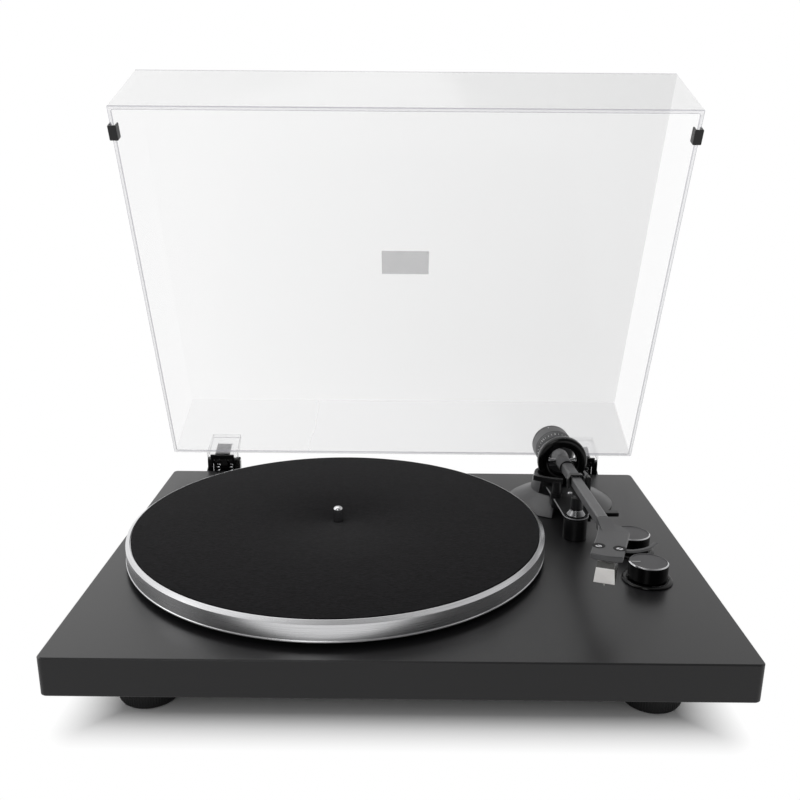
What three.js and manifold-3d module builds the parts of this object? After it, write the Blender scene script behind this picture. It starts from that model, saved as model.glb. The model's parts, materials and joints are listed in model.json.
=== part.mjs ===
// A belt-drive turntable with its dust cover open, in millimetres and Z up.
// It stands on its feet at z = 0. Inside the deck group, z = 0 is the top of the plinth
// and x = y = 0 is the middle of the plinth.
import * as THREE from 'three';
import { mergeVertices } from 'three/addons/utils/BufferGeometryUtils.js';
import Module from 'manifold-3d';

const wasm = await Module();
wasm.setup();

const quarterTurn = Math.PI / 2;
const degree = Math.PI / 180;

// Clearances and cutter lengths that many pieces share.
const seatGap = 0.3;
const runGap = 0.5;
const overrun = 2;
const weldDistance = 0.0001;

// The platter carries a 12 inch record, and the deck is laid out round it: the arm's pivot stands
// clear of its rim, and the plinth reaches past both by these margins.
const platter = {
  radius: 152.5, lift: 4, top: 17.6, web: 4.7, skirt: 6,
  lip: 0.4, lipHeight: 0.8, bevel: 2.8, bevelDrop: 2, recess: 1.4,
};
const layout = {
  leftMargin: 10.2, armInset: 28.2, rightMargin: 76.6, frontMargin: 12.5, rearMargin: 6.5, armFromRear: 67,
};

// Driving dimensions of the body.
const plinth = {
  width: layout.leftMargin + 2 * platter.radius + layout.armInset + layout.rightMargin,
  depth: layout.frontMargin + 2 * platter.radius + layout.rearMargin,
  height: 25.4, corner: 4, edge: 0.8, wall: 10, roof: 4, floor: 3, rebate: 5,
};
const foot = {
  radius: 19, height: 20.6, fromSide: 54.2, fromEnd: 35, toe: 4, shoulder: 1,
};
const mat = { thickness: 1.5, edge: 0.3 };
const spindle = { radius: 3.5, tip: 29.5, dome: 2.3, foot: 1.2 };
const domeShares = [{ radius: 0.89, below: 0.47 }, { radius: 0.6, below: 0.13 }];
const subPlatter = { radius: 60, rim: 3, web: 3.2, hub: 13, rimDepth: 7.7, hubDepth: 8.7 };
const motor = { distance: 95, bearing: 135, radius: 17, height: 15.5, boss: 4, bossHeight: 2.5, shaft: 1.2 };
const pulley = { radius: 5.5, flange: 1.2, flangeHeight: 0.7, bottom: 3.6, height: 6 };
const belt = { thickness: 0.7, width: 4 };
const bearing = { radius: 8, flange: 15, flangeHeight: 2, top: 1.8, floor: 1.5 };
const knob = {
  fromSide: 41, speedAhead: 149, powerAhead: 100,
  radius: 13.5, height: 14, bezelRadius: 17.25, bezelHeight: 1.7,
  bezelEdge: 0.6, chamfer: 0.8, rim: 0.6, dish: 0.4, markLength: 6, markWidth: 1.1, markDepth: 0.4,
  shaft: 3, boreTop: 3.5, switchSize: 20, switchHeight: 12,
};
const board = { width: 70, depth: 100, thickness: 1.6, fromSide: 100, fromRear: 92 };
const outlet = {
  width: 74, height: 14, fromSide: 115,
  plate: 2, inset: 1.5, jackPitch: 14, jackX: -18, jackRadius: 4.2, jackLength: 9, jackBore: 1.6,
  bodyDepth: 11, bodyHeight: 10, postX: 8, postRadius: 1.8, postHead: 4.2, postHeadLength: 5, postGap: 3,
  inletX: 26, inletRadius: 5.5, inletBore: 3.1, inletPin: 0.9, inletDepth: 9,
};

// The dust cover, drawn shut and turned back about its hinge axis.
const cover = {
  sideInset: 2, frontInset: 7, rearInset: 2, height: 84, wall: 3, corner: 6, edge: 1.5,
  rise: 2.5, openAngle: 68.5, hingeBehind: 10.3, hingeAbove: 7.2,
};
const bumper = { length: 11, fromFront: 13.5, grip: 6, wall: 1.4, floor: 1.5 };
const hinge = {
  fromSide: 44.5, width: 30, ear: 3.9, pin: 1.2, earRadius: 3, block: 3.2, barrel: 2.4, arm: 2.1, reach: 10.7,
  plate: 3, baseTop: -9, baseBottom: -20, plateTop: -1, depth: 13.8, stepDown: 5.7,
};
const tongue = { thickness: 1.8, drop: 0.5, floor: 1.6, bladeWidth: 12.6, bladeTop: 17.5, inset: 1.2, plate: 4.4 };
const socket = { width: 28.4, topWidth: 26, height: 28, mouth: 7.2, top: 4.4, slotAbove: 1.5 };
const spring = { radius: 2, wire: 0.55, pitch: 3.2, bottom: -8.1, top: 2.6, x: 5.9 };
const springSteps = 8;
const springSides = 5;

// The tonearm. Its pivot stands above the plinth's top.
const pivotRise = 35.9;
const armSlope = Math.atan(0.065);
const ring = { outer: 20.5, inner: 12.3, depth: 9, edge: 1.5, innerEdge: 0.9, shaft: 4, shaftEnd: 33 };
const pivotPin = { radius: 1.6, head: 2.3, headLength: 2.2 };
const hub = { rear: 16, rearRadius: 6.8, shoulder: 8, waist: 4.8, front: 25, frontRadius: 5.8, dome: 2.5 };
const tube = { half: 3.8, sleeveHalf: 4.4, sleeveEnd: 60, end: 158.3, edge: 1, sleeveEdge: 1.4 };
const collar = { near: 58.5, far: 65, half: 6.6, top: 5.7, drop: 5.2, shoulder: 2.2, leg: 3.4 };
const weight = {
  front: 31, rear: 58, radius: 16.8, edge: 0.9, shaft: 4, shaftEnd: 53, recess: 15, recessDepth: 11,
};
const dial = { length: 4.3, radius: 13.6, edge: 1.4 };
const headshell = {
  offsetAngle: 19, width: 19.5, middle: 9, flareRight: 14.2, flareLeft: 30.2, front: 55, nose: 1.6,
  top: 11.5, thickness: 3.8, edge: 0.6, neckTop: 14.1, neckBottom: 6.5, neckHalf: 4.5, neckLength: 19,
  neckFlat: 3, screwSpan: 12.7, screwAt: 42.3, counterbore: 3.1, counterboreDepth: 1.4, screwHole: 1.5,
  liftAt: 41, liftReach: 17.2, liftBack: 13.6, liftRise: 2.2, liftWidth: 1.3, liftThickness: 0.8,
};
// How far the finger lift has gone out, back and up at each point of its curve.
const fingerLiftShares = [[0, 0, 0], [0.4, 0.06, 0.2], [0.78, 0.42, 0.6], [1, 1, 1]];
const cartridge = {
  width: 12.8, rear: 31.5, front: 58.5, bottom: -6, top: 6.4, shelf: 3.4, shelfWidth: 17, shelfLength: 9,
  chin: 3.5, chinRise: 4,
};
const stylus = {
  width: 7, rear: 38, front: 52, thickness: 1.6, rod: 0.45, tipAt: 57, tipDrop: 8.4, rodDrop: 7.3,
  tipRadius: 0.4,
};

// The arm's base on the deck.
const skirt = {
  radius: 43.5, rim: 1, midRadius: 37.5, midHeight: 4.9, neckRadius: 24.8, neckHeight: 11.8,
  waistRadius: 23.5, waistHeight: 19, topRadius: 22.2, topHeight: 24.5, bore: 19.5,
  openFromAngle: -145, openToAngle: -35, gateFromAngle: -107.6, gateToAngle: -72,
};
const pillar = { core: 18.8, coreTop: 14.9, wall: 22.9, wallFromAngle: -139, wallToAngle: -41, boreFloor: 2 };
const deck = {
  top: 18.8, thickness: 1.8, edge: 0.5, leftReach: 13.3, leftAhead: 41.4,
  rightReach: 14.6, rightAhead: 66, rightRearAhead: 46, joinHalf: 15, joinAhead: 18,
};
const turret = { beside: -1.6, ahead: 78.5, radius: 8.9, nose: 9.5 };
const turretNut = { bottomRadius: 7, topRadius: 4.7, top: 23.6, lip: 0.6 };
const armRest = { radius: 4.3, top: 33.4, cradle: 1.1, cradleRadius: 5.2, edge: 0.5 };
const clipPost = { beside: 9.6, ahead: 61.5, thickness: 3.4, width: 6.5, top: 38, hookDrop: 3.4, hookGap: 0.6 };
const lift = {
  radius: 41, depth: 3.6, bottom: 29.8, top: 33.8, fromAngle: -98, toAngle: -131,
  rodBeside: -10.4, rodAhead: 40.5, rodRadius: 3.4, rodBottom: 10, bossRadius: 4.6, bossTop: 22.5,
};
const cueLever = {
  beside: 10.6, ahead: 63, rise: 13.9, hub: 2.8, hubLength: 7.4, tip: 24, width: 6.4, thickness: 3.2,
  shaft: 1.5, lug: 4, lugHalf: 3, lugBottom: 10.2,
};

// Places that follow from the sizes above.
const deckHeight = foot.height + plinth.height;
const platterX = layout.leftMargin + platter.radius - plinth.width / 2;
const platterY = layout.frontMargin + platter.radius - plinth.depth / 2;
const pivot = {
  x: platterX + platter.radius + layout.armInset, y: plinth.depth / 2 - layout.armFromRear, z: pivotRise,
};
const fromArm = ({ beside, ahead }) => [pivot.x + beside, pivot.y - ahead];
const [turretX, turretY] = fromArm(turret);
const [leverX, leverY] = fromArm(cueLever);
const [rodX, rodY] = fromArm({ beside: lift.rodBeside, ahead: lift.rodAhead });
const footX = plinth.width / 2 - foot.fromSide;
const footY = plinth.depth / 2 - foot.fromEnd;
const knobX = plinth.width / 2 - knob.fromSide;
const speedY = pivot.y - knob.speedAhead;
const powerY = pivot.y - knob.powerAhead;
const outletX = plinth.width / 2 - outlet.fromSide;
const hingeX = plinth.width / 2 - hinge.fromSide;
const coverWidth = plinth.width - 2 * cover.sideInset;
const coverDepth = plinth.depth - cover.frontInset - cover.rearInset;
const hingeY = plinth.depth / 2 + cover.hingeBehind;
const hingeZ = cover.hingeAbove;
const coverRear = plinth.depth / 2 - cover.rearInset - hingeY;
const coverFront = coverRear - coverDepth;
const coverRim = cover.rise - hingeZ;
const coverTop = coverRim + cover.height;
const openAngle = cover.openAngle * degree;
const rearmost = hingeY + coverRear * Math.cos(openAngle) + coverTop * Math.sin(openAngle);
const middleY = (rearmost - plinth.depth / 2) / 2;

// Solids

function weldedShell(geometry) {
  const bare = geometry.clone();
  bare.deleteAttribute('normal');
  bare.deleteAttribute('uv');
  const welded = mergeVertices(bare, weldDistance);
  const place = welded.attributes.position;
  const corners = welded.index.array;
  const triangles = [];
  let volume = 0;
  const [a, b, c] = [new THREE.Vector3(), new THREE.Vector3(), new THREE.Vector3()];
  for (let i = 0; i < corners.length; i += 3) {
    const [p, q, r] = [corners[i], corners[i + 1], corners[i + 2]];
    if (p === q || q === r || r === p) continue;
    triangles.push([p, q, r]);
    a.fromBufferAttribute(place, p);
    b.fromBufferAttribute(place, q);
    c.fromBufferAttribute(place, r);
    volume += a.dot(b.cross(c));
  }
  const outward = volume < 0 ? triangles.map(([p, q, r]) => [p, r, q]) : triangles;
  welded.setIndex(outward.flat());
  return welded;
}

function solid(geometry) {
  const shell = weldedShell(geometry);
  return new wasm.Manifold(new wasm.Mesh({
    numProp: 3,
    vertProperties: new Float32Array(shell.attributes.position.array),
    triVerts: new Uint32Array(shell.index.array),
  }));
}

function shellOf(body) {
  const mesh = body.getMesh();
  const geometry = new THREE.BufferGeometry();
  geometry.setAttribute('position', new THREE.BufferAttribute(mesh.vertProperties, 3));
  geometry.setIndex(new THREE.BufferAttribute(mesh.triVerts, 1));
  return geometry;
}

const joined = (...parts) => shellOf(parts.map(solid).reduce((body, next) => body.add(next)));

const cutBy = (part, ...cutters) => shellOf(
  cutters.map(solid).reduce((body, cutter) => body.subtract(cutter), solid(part)));

const common = (part, other) => shellOf(solid(part).intersect(solid(other)));

function turned(profile, segments = 32) {
  const points = profile.map(([r, z]) => new THREE.Vector2(r, z));
  return new THREE.LatheGeometry(points, segments).rotateX(quarterTurn);
}

const turnedRing = (profile, segments) => turned([...profile, profile[0]], segments);

function post(radius, bottom, top, segments = 24, topRadius = radius) {
  return new THREE.CylinderGeometry(topRadius, radius, top - bottom, segments)
    .rotateX(quarterTurn)
    .translate(0, 0, (top + bottom) / 2);
}

function block(left, right, front, back, bottom, top) {
  return new THREE.BoxGeometry(right - left, back - front, top - bottom)
    .translate((left + right) / 2, (front + back) / 2, (bottom + top) / 2);
}

function outlineOf(points) {
  return new THREE.Shape(points.map(([x, y]) => new THREE.Vector2(x, y)));
}

function roundedRectangle(width, depth, radius) {
  const [x, y] = [width / 2, depth / 2];
  const shape = new THREE.Shape();
  shape.moveTo(-x + radius, -y);
  shape.absarc(x - radius, -y + radius, radius, -quarterTurn, 0);
  shape.absarc(x - radius, y - radius, radius, 0, quarterTurn);
  shape.absarc(-x + radius, y - radius, radius, quarterTurn, 2 * quarterTurn);
  shape.absarc(-x + radius, -y + radius, radius, 2 * quarterTurn, 3 * quarterTurn);
  return shape;
}

function raised(shape, bottom, top, bevel = 0, curveSegments = 4) {
  return new THREE.ExtrudeGeometry(shape, {
    depth: top - bottom - 2 * bevel,
    bevelEnabled: bevel > 0,
    bevelThickness: bevel,
    bevelSize: bevel,
    bevelOffset: -bevel,
    bevelSegments: 1,
    curveSegments,
  }).translate(0, 0, bottom + bevel);
}

// A side view, drawn as (y, z), carried across from one x to another.
const acrossX = (shape, from, to, bevel = 0) => raised(shape, 0, to - from, bevel)
  .rotateX(quarterTurn).rotateZ(quarterTurn).translate(from, 0, 0);

// A section, drawn as (x, z), carried forward, which is towards -Y.
const forward = (shape, from, to, bevel = 0) => raised(shape, from, to, bevel).rotateX(quarterTurn);

// A turned profile of [radius, distance forward].
const turnedForward = (profile, segments) => turned(profile, segments).rotateX(quarterTurn);

function sector(radius, from, to, bottom, top) {
  const shape = new THREE.Shape();
  shape.moveTo(0, 0);
  shape.lineTo(radius * Math.cos(from * degree), radius * Math.sin(from * degree));
  shape.absarc(0, 0, radius, from * degree, to * degree);
  return raised(shape, bottom, top, 0, 8);
}

function piece(name, geometry, color, roughness, metalness = 0) {
  const material = new THREE.MeshStandardMaterial({ color, roughness, metalness });
  const mesh = new THREE.Mesh(weldedShell(geometry), material);
  mesh.name = name;
  return mesh;
}

function placed(mesh, x, y, z = 0) {
  mesh.position.set(x, y, z);
  return mesh;
}

// Body

const cavityTop = -plinth.roof;
const cavityFloor = -plinth.height + plinth.floor;
const motorX = platterX + motor.distance * Math.cos(motor.bearing * degree);
const motorY = platterY + motor.distance * Math.sin(motor.bearing * degree);
const outletBack = plinth.depth / 2 - outlet.inset;
const outletZ = (cavityTop + cavityFloor) / 2;

function plinthBody() {
  const outer = raised(
    roundedRectangle(plinth.width, plinth.depth, plinth.corner), -plinth.height, 0, plinth.edge);
  const inside = roundedRectangle(
    plinth.width - 2 * plinth.wall, plinth.depth - 2 * plinth.wall, plinth.corner);
  const rebate = roundedRectangle(
    plinth.width - 2 * plinth.rebate, plinth.depth - 2 * plinth.rebate, plinth.corner);
  const hollow = raised(inside, -plinth.height - overrun, cavityTop);
  const seat = raised(rebate, -plinth.height - overrun, cavityFloor);
  const through = [-plinth.roof - overrun, overrun];
  const bearingHole = post(bearing.radius + seatGap, ...through).translate(platterX, platterY, 0);
  const motorHole = post(motor.boss + seatGap, ...through).translate(motorX, motorY, 0);
  const knobHoles = [speedY, powerY].map(
    (y) => post(knob.shaft + seatGap, ...through).translate(knobX, y, 0));
  const window = block(
    outletX - outlet.width / 2, outletX + outlet.width / 2,
    plinth.depth / 2 - plinth.wall - overrun, plinth.depth / 2 + overrun,
    outletZ - outlet.height / 2, outletZ + outlet.height / 2);
  const body = cutBy(outer, hollow, seat, bearingHole, motorHole, ...knobHoles, window);
  return piece('plinth', body, 0x3b3a3e, 0.55);
}

function bottomPlate() {
  const inset = 2 * (plinth.rebate + seatGap);
  const shape = roundedRectangle(plinth.width - inset, plinth.depth - inset, plinth.corner - seatGap);
  return piece('bottom_plate', raised(shape, -plinth.height, cavityFloor - seatGap), 0x232326, 0.7);
}

function feet() {
  const floor = -deckHeight;
  const top = -plinth.height - seatGap;
  const profile = [
    [0, floor], [foot.radius - foot.toe, floor], [foot.radius - foot.toe / 3, floor + foot.toe / 3],
    [foot.radius, floor + foot.toe], [foot.radius, top - foot.shoulder],
    [foot.radius - foot.shoulder, top], [0, top],
  ];
  const corners = [['front_left', -1, -1], ['front_right', 1, -1], ['rear_left', -1, 1], ['rear_right', 1, 1]];
  return corners.map(([name, across, along]) => placed(
    piece(`foot_${name}`, turned(profile, 24), 0x2c2c30, 0.8), across * footX, along * footY));
}

function driveMotor() {
  const top = cavityTop - seatGap;
  const pulleyTop = pulley.bottom + pulley.height;
  const profile = [
    [0, top - motor.height], [motor.radius, top - motor.height], [motor.radius, top],
    [motor.boss, top], [motor.boss, top + motor.bossHeight],
    [motor.shaft, top + motor.bossHeight], [motor.shaft, pulleyTop], [0, pulleyTop],
  ];
  return placed(piece('drive_motor', turned(profile, 20), 0x8d8f92, 0.4, 0.8), motorX, motorY);
}

function motorPulley() {
  const top = pulley.bottom + pulley.height;
  const edge = pulley.radius + pulley.flange;
  const profile = [
    [motor.shaft + seatGap, pulley.bottom], [edge, pulley.bottom], [edge, pulley.bottom + pulley.flangeHeight],
    [pulley.radius, pulley.bottom + pulley.flangeHeight], [pulley.radius, top - pulley.flangeHeight],
    [edge, top - pulley.flangeHeight], [edge, top], [motor.shaft + seatGap, top],
  ];
  return placed(piece('motor_pulley', turnedRing(profile, 16), 0xb9a15c, 0.35, 0.9), motorX, motorY);
}

function beltOutline(shape, big, small) {
  const lean = Math.acos((big - small) / motor.distance);
  const start = new THREE.Vector2(big * Math.cos(lean), big * Math.sin(lean));
  shape.moveTo(start.x, start.y);
  shape.absarc(0, 0, big, lean, 2 * Math.PI - lean);
  shape.absarc(motor.distance, 0, small, -lean, lean);
  return shape;
}

function driveBelt() {
  const big = subPlatter.radius + seatGap;
  const small = pulley.radius + seatGap;
  const outer = beltOutline(new THREE.Shape(), big + belt.thickness, small + belt.thickness);
  outer.holes.push(beltOutline(new THREE.Path(), big, small));
  const bottom = pulley.bottom + (pulley.height - belt.width) / 2;
  const loop = raised(outer, bottom, bottom + belt.width, 0, 16).rotateZ(motor.bearing * degree);
  return placed(piece('drive_belt', loop, 0x1b1b1d, 0.85), platterX, platterY);
}

function bearingHousing() {
  const under = cavityTop - seatGap;
  const bottom = cavityFloor + seatGap;
  const bore = spindle.radius + seatGap;
  const profile = [
    [0, bottom], [bearing.radius, bottom], [bearing.radius, under - bearing.flangeHeight],
    [bearing.flange, under - bearing.flangeHeight], [bearing.flange, under], [bearing.radius, under],
    [bearing.radius, bearing.top], [bore, bearing.top], [bore, bottom + bearing.floor],
    [0, bottom + bearing.floor],
  ];
  return placed(piece('bearing_housing', turned(profile, 20), 0xa98f4e, 0.4, 0.9), platterX, platterY);
}

function switchBlock(name, y) {
  const top = cavityTop - seatGap;
  const half = knob.switchSize / 2;
  const body = joined(
    block(-half, half, -half, half, top - knob.switchHeight, top),
    post(knob.shaft, top - knob.switchHeight / 2, knob.height - knob.boreTop - seatGap, 24));
  return placed(piece(name, body, 0x2a2a2c, 0.6), knobX, y);
}

function knobBezel(name, y) {
  const top = seatGap + knob.bezelHeight;
  const hole = knob.shaft + seatGap;
  const profile = [
    [hole, seatGap], [knob.bezelRadius, seatGap], [knob.bezelRadius, top - knob.bezelEdge],
    [knob.bezelRadius - knob.bezelEdge, top], [hole, top],
  ];
  return placed(piece(name, turnedRing(profile, 24), 0x161618, 0.25), knobX, y);
}

function turnedKnob(name, y) {
  const bottom = knob.bezelHeight + 2 * seatGap;
  const bore = knob.shaft + seatGap;
  const boreTop = knob.height - knob.boreTop;
  const dishEdge = knob.radius - knob.chamfer - knob.rim;
  const face = knob.height - knob.dish;
  const profile = [
    [0, boreTop], [bore, boreTop], [bore, bottom], [knob.radius, bottom],
    [knob.radius, knob.height - knob.chamfer], [knob.radius - knob.chamfer, knob.height],
    [dishEdge, knob.height], [dishEdge - knob.dish, face], [0, face],
  ];
  const half = knob.markWidth / 2;
  const mark = block(-dishEdge, knob.markLength - dishEdge, -half, half, face - knob.markDepth, knob.height + overrun);
  return placed(piece(name, cutBy(turned(profile), mark), 0x17171a, 0.2), knobX, y);
}

function circuitBoard() {
  const bottom = cavityFloor;
  const [x, y] = [board.width / 2, board.depth / 2];
  const slab = block(-x, x, -y, y, bottom, bottom + board.thickness);
  return placed(piece('circuit_board', slab, 0x2f5a3c, 0.6), plinth.width / 2 - board.fromSide, plinth.depth / 2 - board.fromRear);
}

// Sockets at the back

const rearward = (profile, segments = 16) => turned(profile, segments).rotateX(-quarterTurn);

function terminalPlate() {
  const halfWidth = outlet.width / 2 - seatGap;
  const halfHeight = outlet.height / 2 - seatGap;
  const slab = block(-halfWidth, halfWidth, -outlet.plate, 0, -halfHeight, halfHeight);
  const places = [
    [outlet.jackX, outlet.jackRadius], [outlet.jackX + outlet.jackPitch, outlet.jackRadius],
    [outlet.postX, outlet.postRadius], [outlet.inletX, outlet.inletRadius],
  ];
  const holes = places.map(([x, radius]) => rearward([
    [0, -outlet.plate - overrun], [radius + seatGap, -outlet.plate - overrun],
    [radius + seatGap, overrun], [0, overrun],
  ]).translate(x, 0, 0));
  return placed(
    piece('terminal_plate', cutBy(slab, ...holes), 0x202022, 0.6), outletX, outletBack, outletZ);
}

function phonoJacks() {
  const front = -outlet.plate - seatGap;
  const back = front - outlet.bodyDepth;
  const left = outlet.jackX - outlet.jackRadius;
  const right = outlet.jackX + outlet.jackPitch + outlet.jackRadius;
  const half = outlet.bodyHeight / 2;
  const body = block(left, right, back, front, -half, half);
  const centres = [outlet.jackX, outlet.jackX + outlet.jackPitch];
  const barrels = centres.map((x) => rearward([
    [0, back / 2], [outlet.jackRadius, back / 2], [outlet.jackRadius, outlet.jackLength], [0, outlet.jackLength],
  ]).translate(x, 0, 0));
  const bores = centres.map((x) => rearward([
    [0, front], [outlet.jackBore, front], [outlet.jackBore, outlet.jackLength + overrun],
    [0, outlet.jackLength + overrun],
  ], 16).translate(x, 0, 0));
  const jacks = cutBy(joined(body, ...barrels), ...bores);
  return placed(piece('phono_jacks', jacks, 0xb08f3e, 0.3, 0.9), outletX, outletBack, outletZ);
}

function groundPost() {
  const front = -outlet.plate - outlet.postGap;
  const headFrom = outlet.postGap / 2;
  const headTo = headFrom + outlet.postHeadLength;
  const rear = rearward([
    [0, front], [outlet.postHead, front], [outlet.postHead, -outlet.plate - seatGap],
    [outlet.postRadius, -outlet.plate - seatGap], [outlet.postRadius, headFrom],
    [outlet.postHead, headFrom], [outlet.postHead, headTo], [0, headTo],
  ]);
  return placed(
    piece('ground_post', rear, 0xb9bbbd, 0.3, 0.9), outletX + outlet.postX, outletBack, outletZ);
}

function powerInlet() {
  const front = -outlet.plate - seatGap;
  const end = -outlet.inset;
  const profile = [
    [0, front - outlet.inletDepth - outlet.plate], [outlet.inletRadius, front - outlet.inletDepth - outlet.plate],
    [outlet.inletRadius, end], [outlet.inletBore, end], [outlet.inletBore, end - outlet.inletDepth],
    [outlet.inletPin, end - outlet.inletDepth], [outlet.inletPin, end - outlet.inset], [0, end - outlet.inset],
  ];
  return placed(
    piece('power_inlet', rearward(profile), 0x19191b, 0.5), outletX + outlet.inletX, outletBack, outletZ);
}

// Platter

function platterDish() {
  const { radius, lift, top, web, skirt: wall, lip, lipHeight, bevel, bevelDrop, recess } = platter;
  const floor = top - recess;
  const hole = spindle.radius + seatGap;
  const side = radius - lip;
  const crown = side - bevel;
  const profile = [
    [hole, floor - web], [radius - wall, floor - web], [radius - wall, lift], [radius, lift],
    [radius, lift + lipHeight], [side, lift + lipHeight + lip], [side, top - bevelDrop],
    [crown, top], [crown - mat.edge, top], [crown - mat.edge, floor], [hole, floor],
  ];
  return piece('platter', turnedRing(profile, 72), 0xa9abae, 0.3, 0.9);
}

function platterMat() {
  const bottom = platter.top - platter.recess + seatGap;
  const edge = platter.radius - platter.lip - platter.bevel - 2 * mat.edge;
  const top = bottom + mat.thickness;
  const hole = spindle.radius + seatGap;
  const profile = [[hole, bottom], [edge, bottom], [edge, top - mat.edge], [edge - mat.edge, top], [hole, top]];
  return piece('platter_mat', turnedRing(profile, 72), 0x1e1e21, 0.95);
}

function subPlatterWheel() {
  const top = platter.top - platter.recess - platter.web - seatGap;
  const hole = spindle.radius + seatGap;
  const inner = subPlatter.radius - subPlatter.rim;
  const profile = [
    [hole, top - subPlatter.hubDepth], [subPlatter.hub, top - subPlatter.hubDepth],
    [subPlatter.hub, top - subPlatter.web], [inner, top - subPlatter.web],
    [inner, top - subPlatter.rimDepth], [subPlatter.radius, top - subPlatter.rimDepth],
    [subPlatter.radius, top], [hole, top],
  ];
  return piece('sub_platter', turnedRing(profile, 32), 0x2b2b2e, 0.5);
}

function spindleShaft() {
  const bottom = cavityFloor + bearing.floor + 2 * seatGap;
  const { radius, tip, dome, foot: end } = spindle;
  const profile = [
    [0, bottom], [radius - end, bottom], [radius, bottom + end], [radius, tip - dome],
    ...domeShares.map((share) => [radius * share.radius, tip - dome * share.below]), [0, tip],
  ];
  return piece('spindle', turned(profile, 20), 0xd2d4d6, 0.1, 1);
}

function platterGroup() {
  const group = new THREE.Group();
  group.add(subPlatterWheel(), spindleShaft(), platterDish(), platterMat());
  return placed(group, platterX, platterY);
}

// Dust cover and its hinges

function dustCover() {
  const middle = (coverFront + coverRear) / 2;
  const outer = raised(roundedRectangle(coverWidth, coverDepth, cover.corner),
    coverRim - cover.edge, coverTop, cover.edge, 3).translate(0, middle, 0);
  const trim = block(-coverWidth, coverWidth, coverFront - overrun, coverRear + overrun,
    coverRim - cover.edge - overrun, coverRim);
  const inside = roundedRectangle(
    coverWidth - 2 * cover.wall, coverDepth - 2 * cover.wall, cover.corner - cover.wall);
  const hollow = raised(inside, coverRim - overrun, coverTop - cover.wall, 0, 3).translate(0, middle, 0);
  return piece('dust_cover', cutBy(outer, trim, hollow), 0xe9eaee, 0.08);
}

function coverBumper(name, side) {
  const outside = coverWidth / 2 + seatGap;
  const inside = outside - 2 * seatGap - cover.wall;
  const top = coverRim + bumper.grip;
  const floor = coverRim - seatGap;
  const section = outlineOf([
    [inside - bumper.wall, floor - bumper.floor], [outside + bumper.wall, floor - bumper.floor],
    [outside + bumper.wall, top], [outside, top], [outside, floor], [inside, floor], [inside, top],
    [inside - bumper.wall, top],
  ]);
  const clip = forward(section, 0, bumper.length).translate(0, coverFront + bumper.fromFront + bumper.length, 0);
  return piece(name, side < 0 ? clip.scale(-1, 1, 1) : clip, 0x1a1a1c, 0.7);
}

function coverSocket(name, x) {
  const back = coverRear + seatGap;
  const bottom = coverRim;
  const top = coverRim + socket.height;
  const side = outlineOf([
    [back, bottom], [back + socket.mouth - seatGap, bottom], [back + socket.top - seatGap, top], [back, top],
  ]);
  const wedge = acrossX(side, x - socket.width / 2, x + socket.width / 2);
  const taper = (socket.width - socket.topWidth) / 2;
  const plan = outlineOf([
    [x - socket.width / 2, bottom - overrun], [x + socket.width / 2, bottom - overrun],
    [x + socket.width / 2, bottom], [x + socket.width / 2 - taper, top + overrun],
    [x - socket.width / 2 + taper, top + overrun], [x - socket.width / 2, bottom],
  ]);
  const trimmed = common(wedge, forward(plan, -back - socket.mouth - overrun, -back + overrun));
  const bladeFront = coverRear + tongue.inset + seatGap;
  const half = tongue.bladeWidth / 2 + seatGap;
  const slot = block(x - half, x + half, bladeFront - seatGap, bladeFront + tongue.thickness + seatGap,
    bottom - overrun, tongue.bladeTop - hingeZ + socket.slotAbove);
  return piece(name, cutBy(trimmed, slot), 0xdfe0e6, 0.15);
}

function hingeTongue(name, x) {
  const front = coverRear + tongue.inset + seatGap;
  const bottom = tongue.drop - hingeZ;
  const floorTop = bottom + tongue.floor;
  const plateEnd = front + tongue.plate;
  const bladeSide = outlineOf([
    [front, bottom], [plateEnd, bottom], [plateEnd, floorTop],
    [front + tongue.thickness, floorTop], [front + tongue.thickness, tongue.bladeTop - hingeZ],
    [front, tongue.bladeTop - hingeZ],
  ]);
  const plateSide = outlineOf([[front, bottom], [plateEnd, bottom], [plateEnd, floorTop], [front, floorTop]]);
  const armSide = outlineOf([
    [front + tongue.thickness, bottom], [-hinge.barrel / 2, bottom], [hinge.barrel * 0.9, -hinge.barrel / 3],
    [0, hinge.barrel * 0.9], [-hinge.barrel * 0.9, 0], [-hinge.barrel * 1.3, floorTop],
    [front + tongue.thickness, floorTop],
  ]);
  const parts = [
    acrossX(bladeSide, x - tongue.bladeWidth / 2, x + tongue.bladeWidth / 2),
    acrossX(plateSide, x - hinge.reach, x + hinge.reach),
  ];
  const hole = hinge.pin + seatGap;
  const barrelFrom = hinge.block + runGap;
  for (const side of [-1, 1]) {
    const ends = [x + side * barrelFrom, x + side * hinge.reach].sort((a, b) => a - b);
    const armEnds = [x + side * (hinge.reach - hinge.arm), x + side * hinge.reach].sort((a, b) => a - b);
    parts.push(acrossX(circle(hinge.barrel), ...ends), acrossX(armSide, ...armEnds));
  }
  const bore = acrossX(circle(hole), x - hinge.width, x + hinge.width);
  return piece(name, cutBy(joined(...parts), bore), 0x18181a, 0.5);
}

function circle(radius) {
  const shape = new THREE.Shape();
  shape.absarc(0, 0, radius, 0, 2 * Math.PI);
  return shape;
}

function earShape(radius, bottom, front, step) {
  const shape = new THREE.Shape();
  shape.moveTo(front, bottom);
  shape.lineTo(radius, bottom);
  shape.absarc(0, 0, radius, 0, 2 * quarterTurn);
  shape.lineTo(-radius, -step);
  shape.lineTo(front, -step - radius);
  return shape;
}

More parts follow.
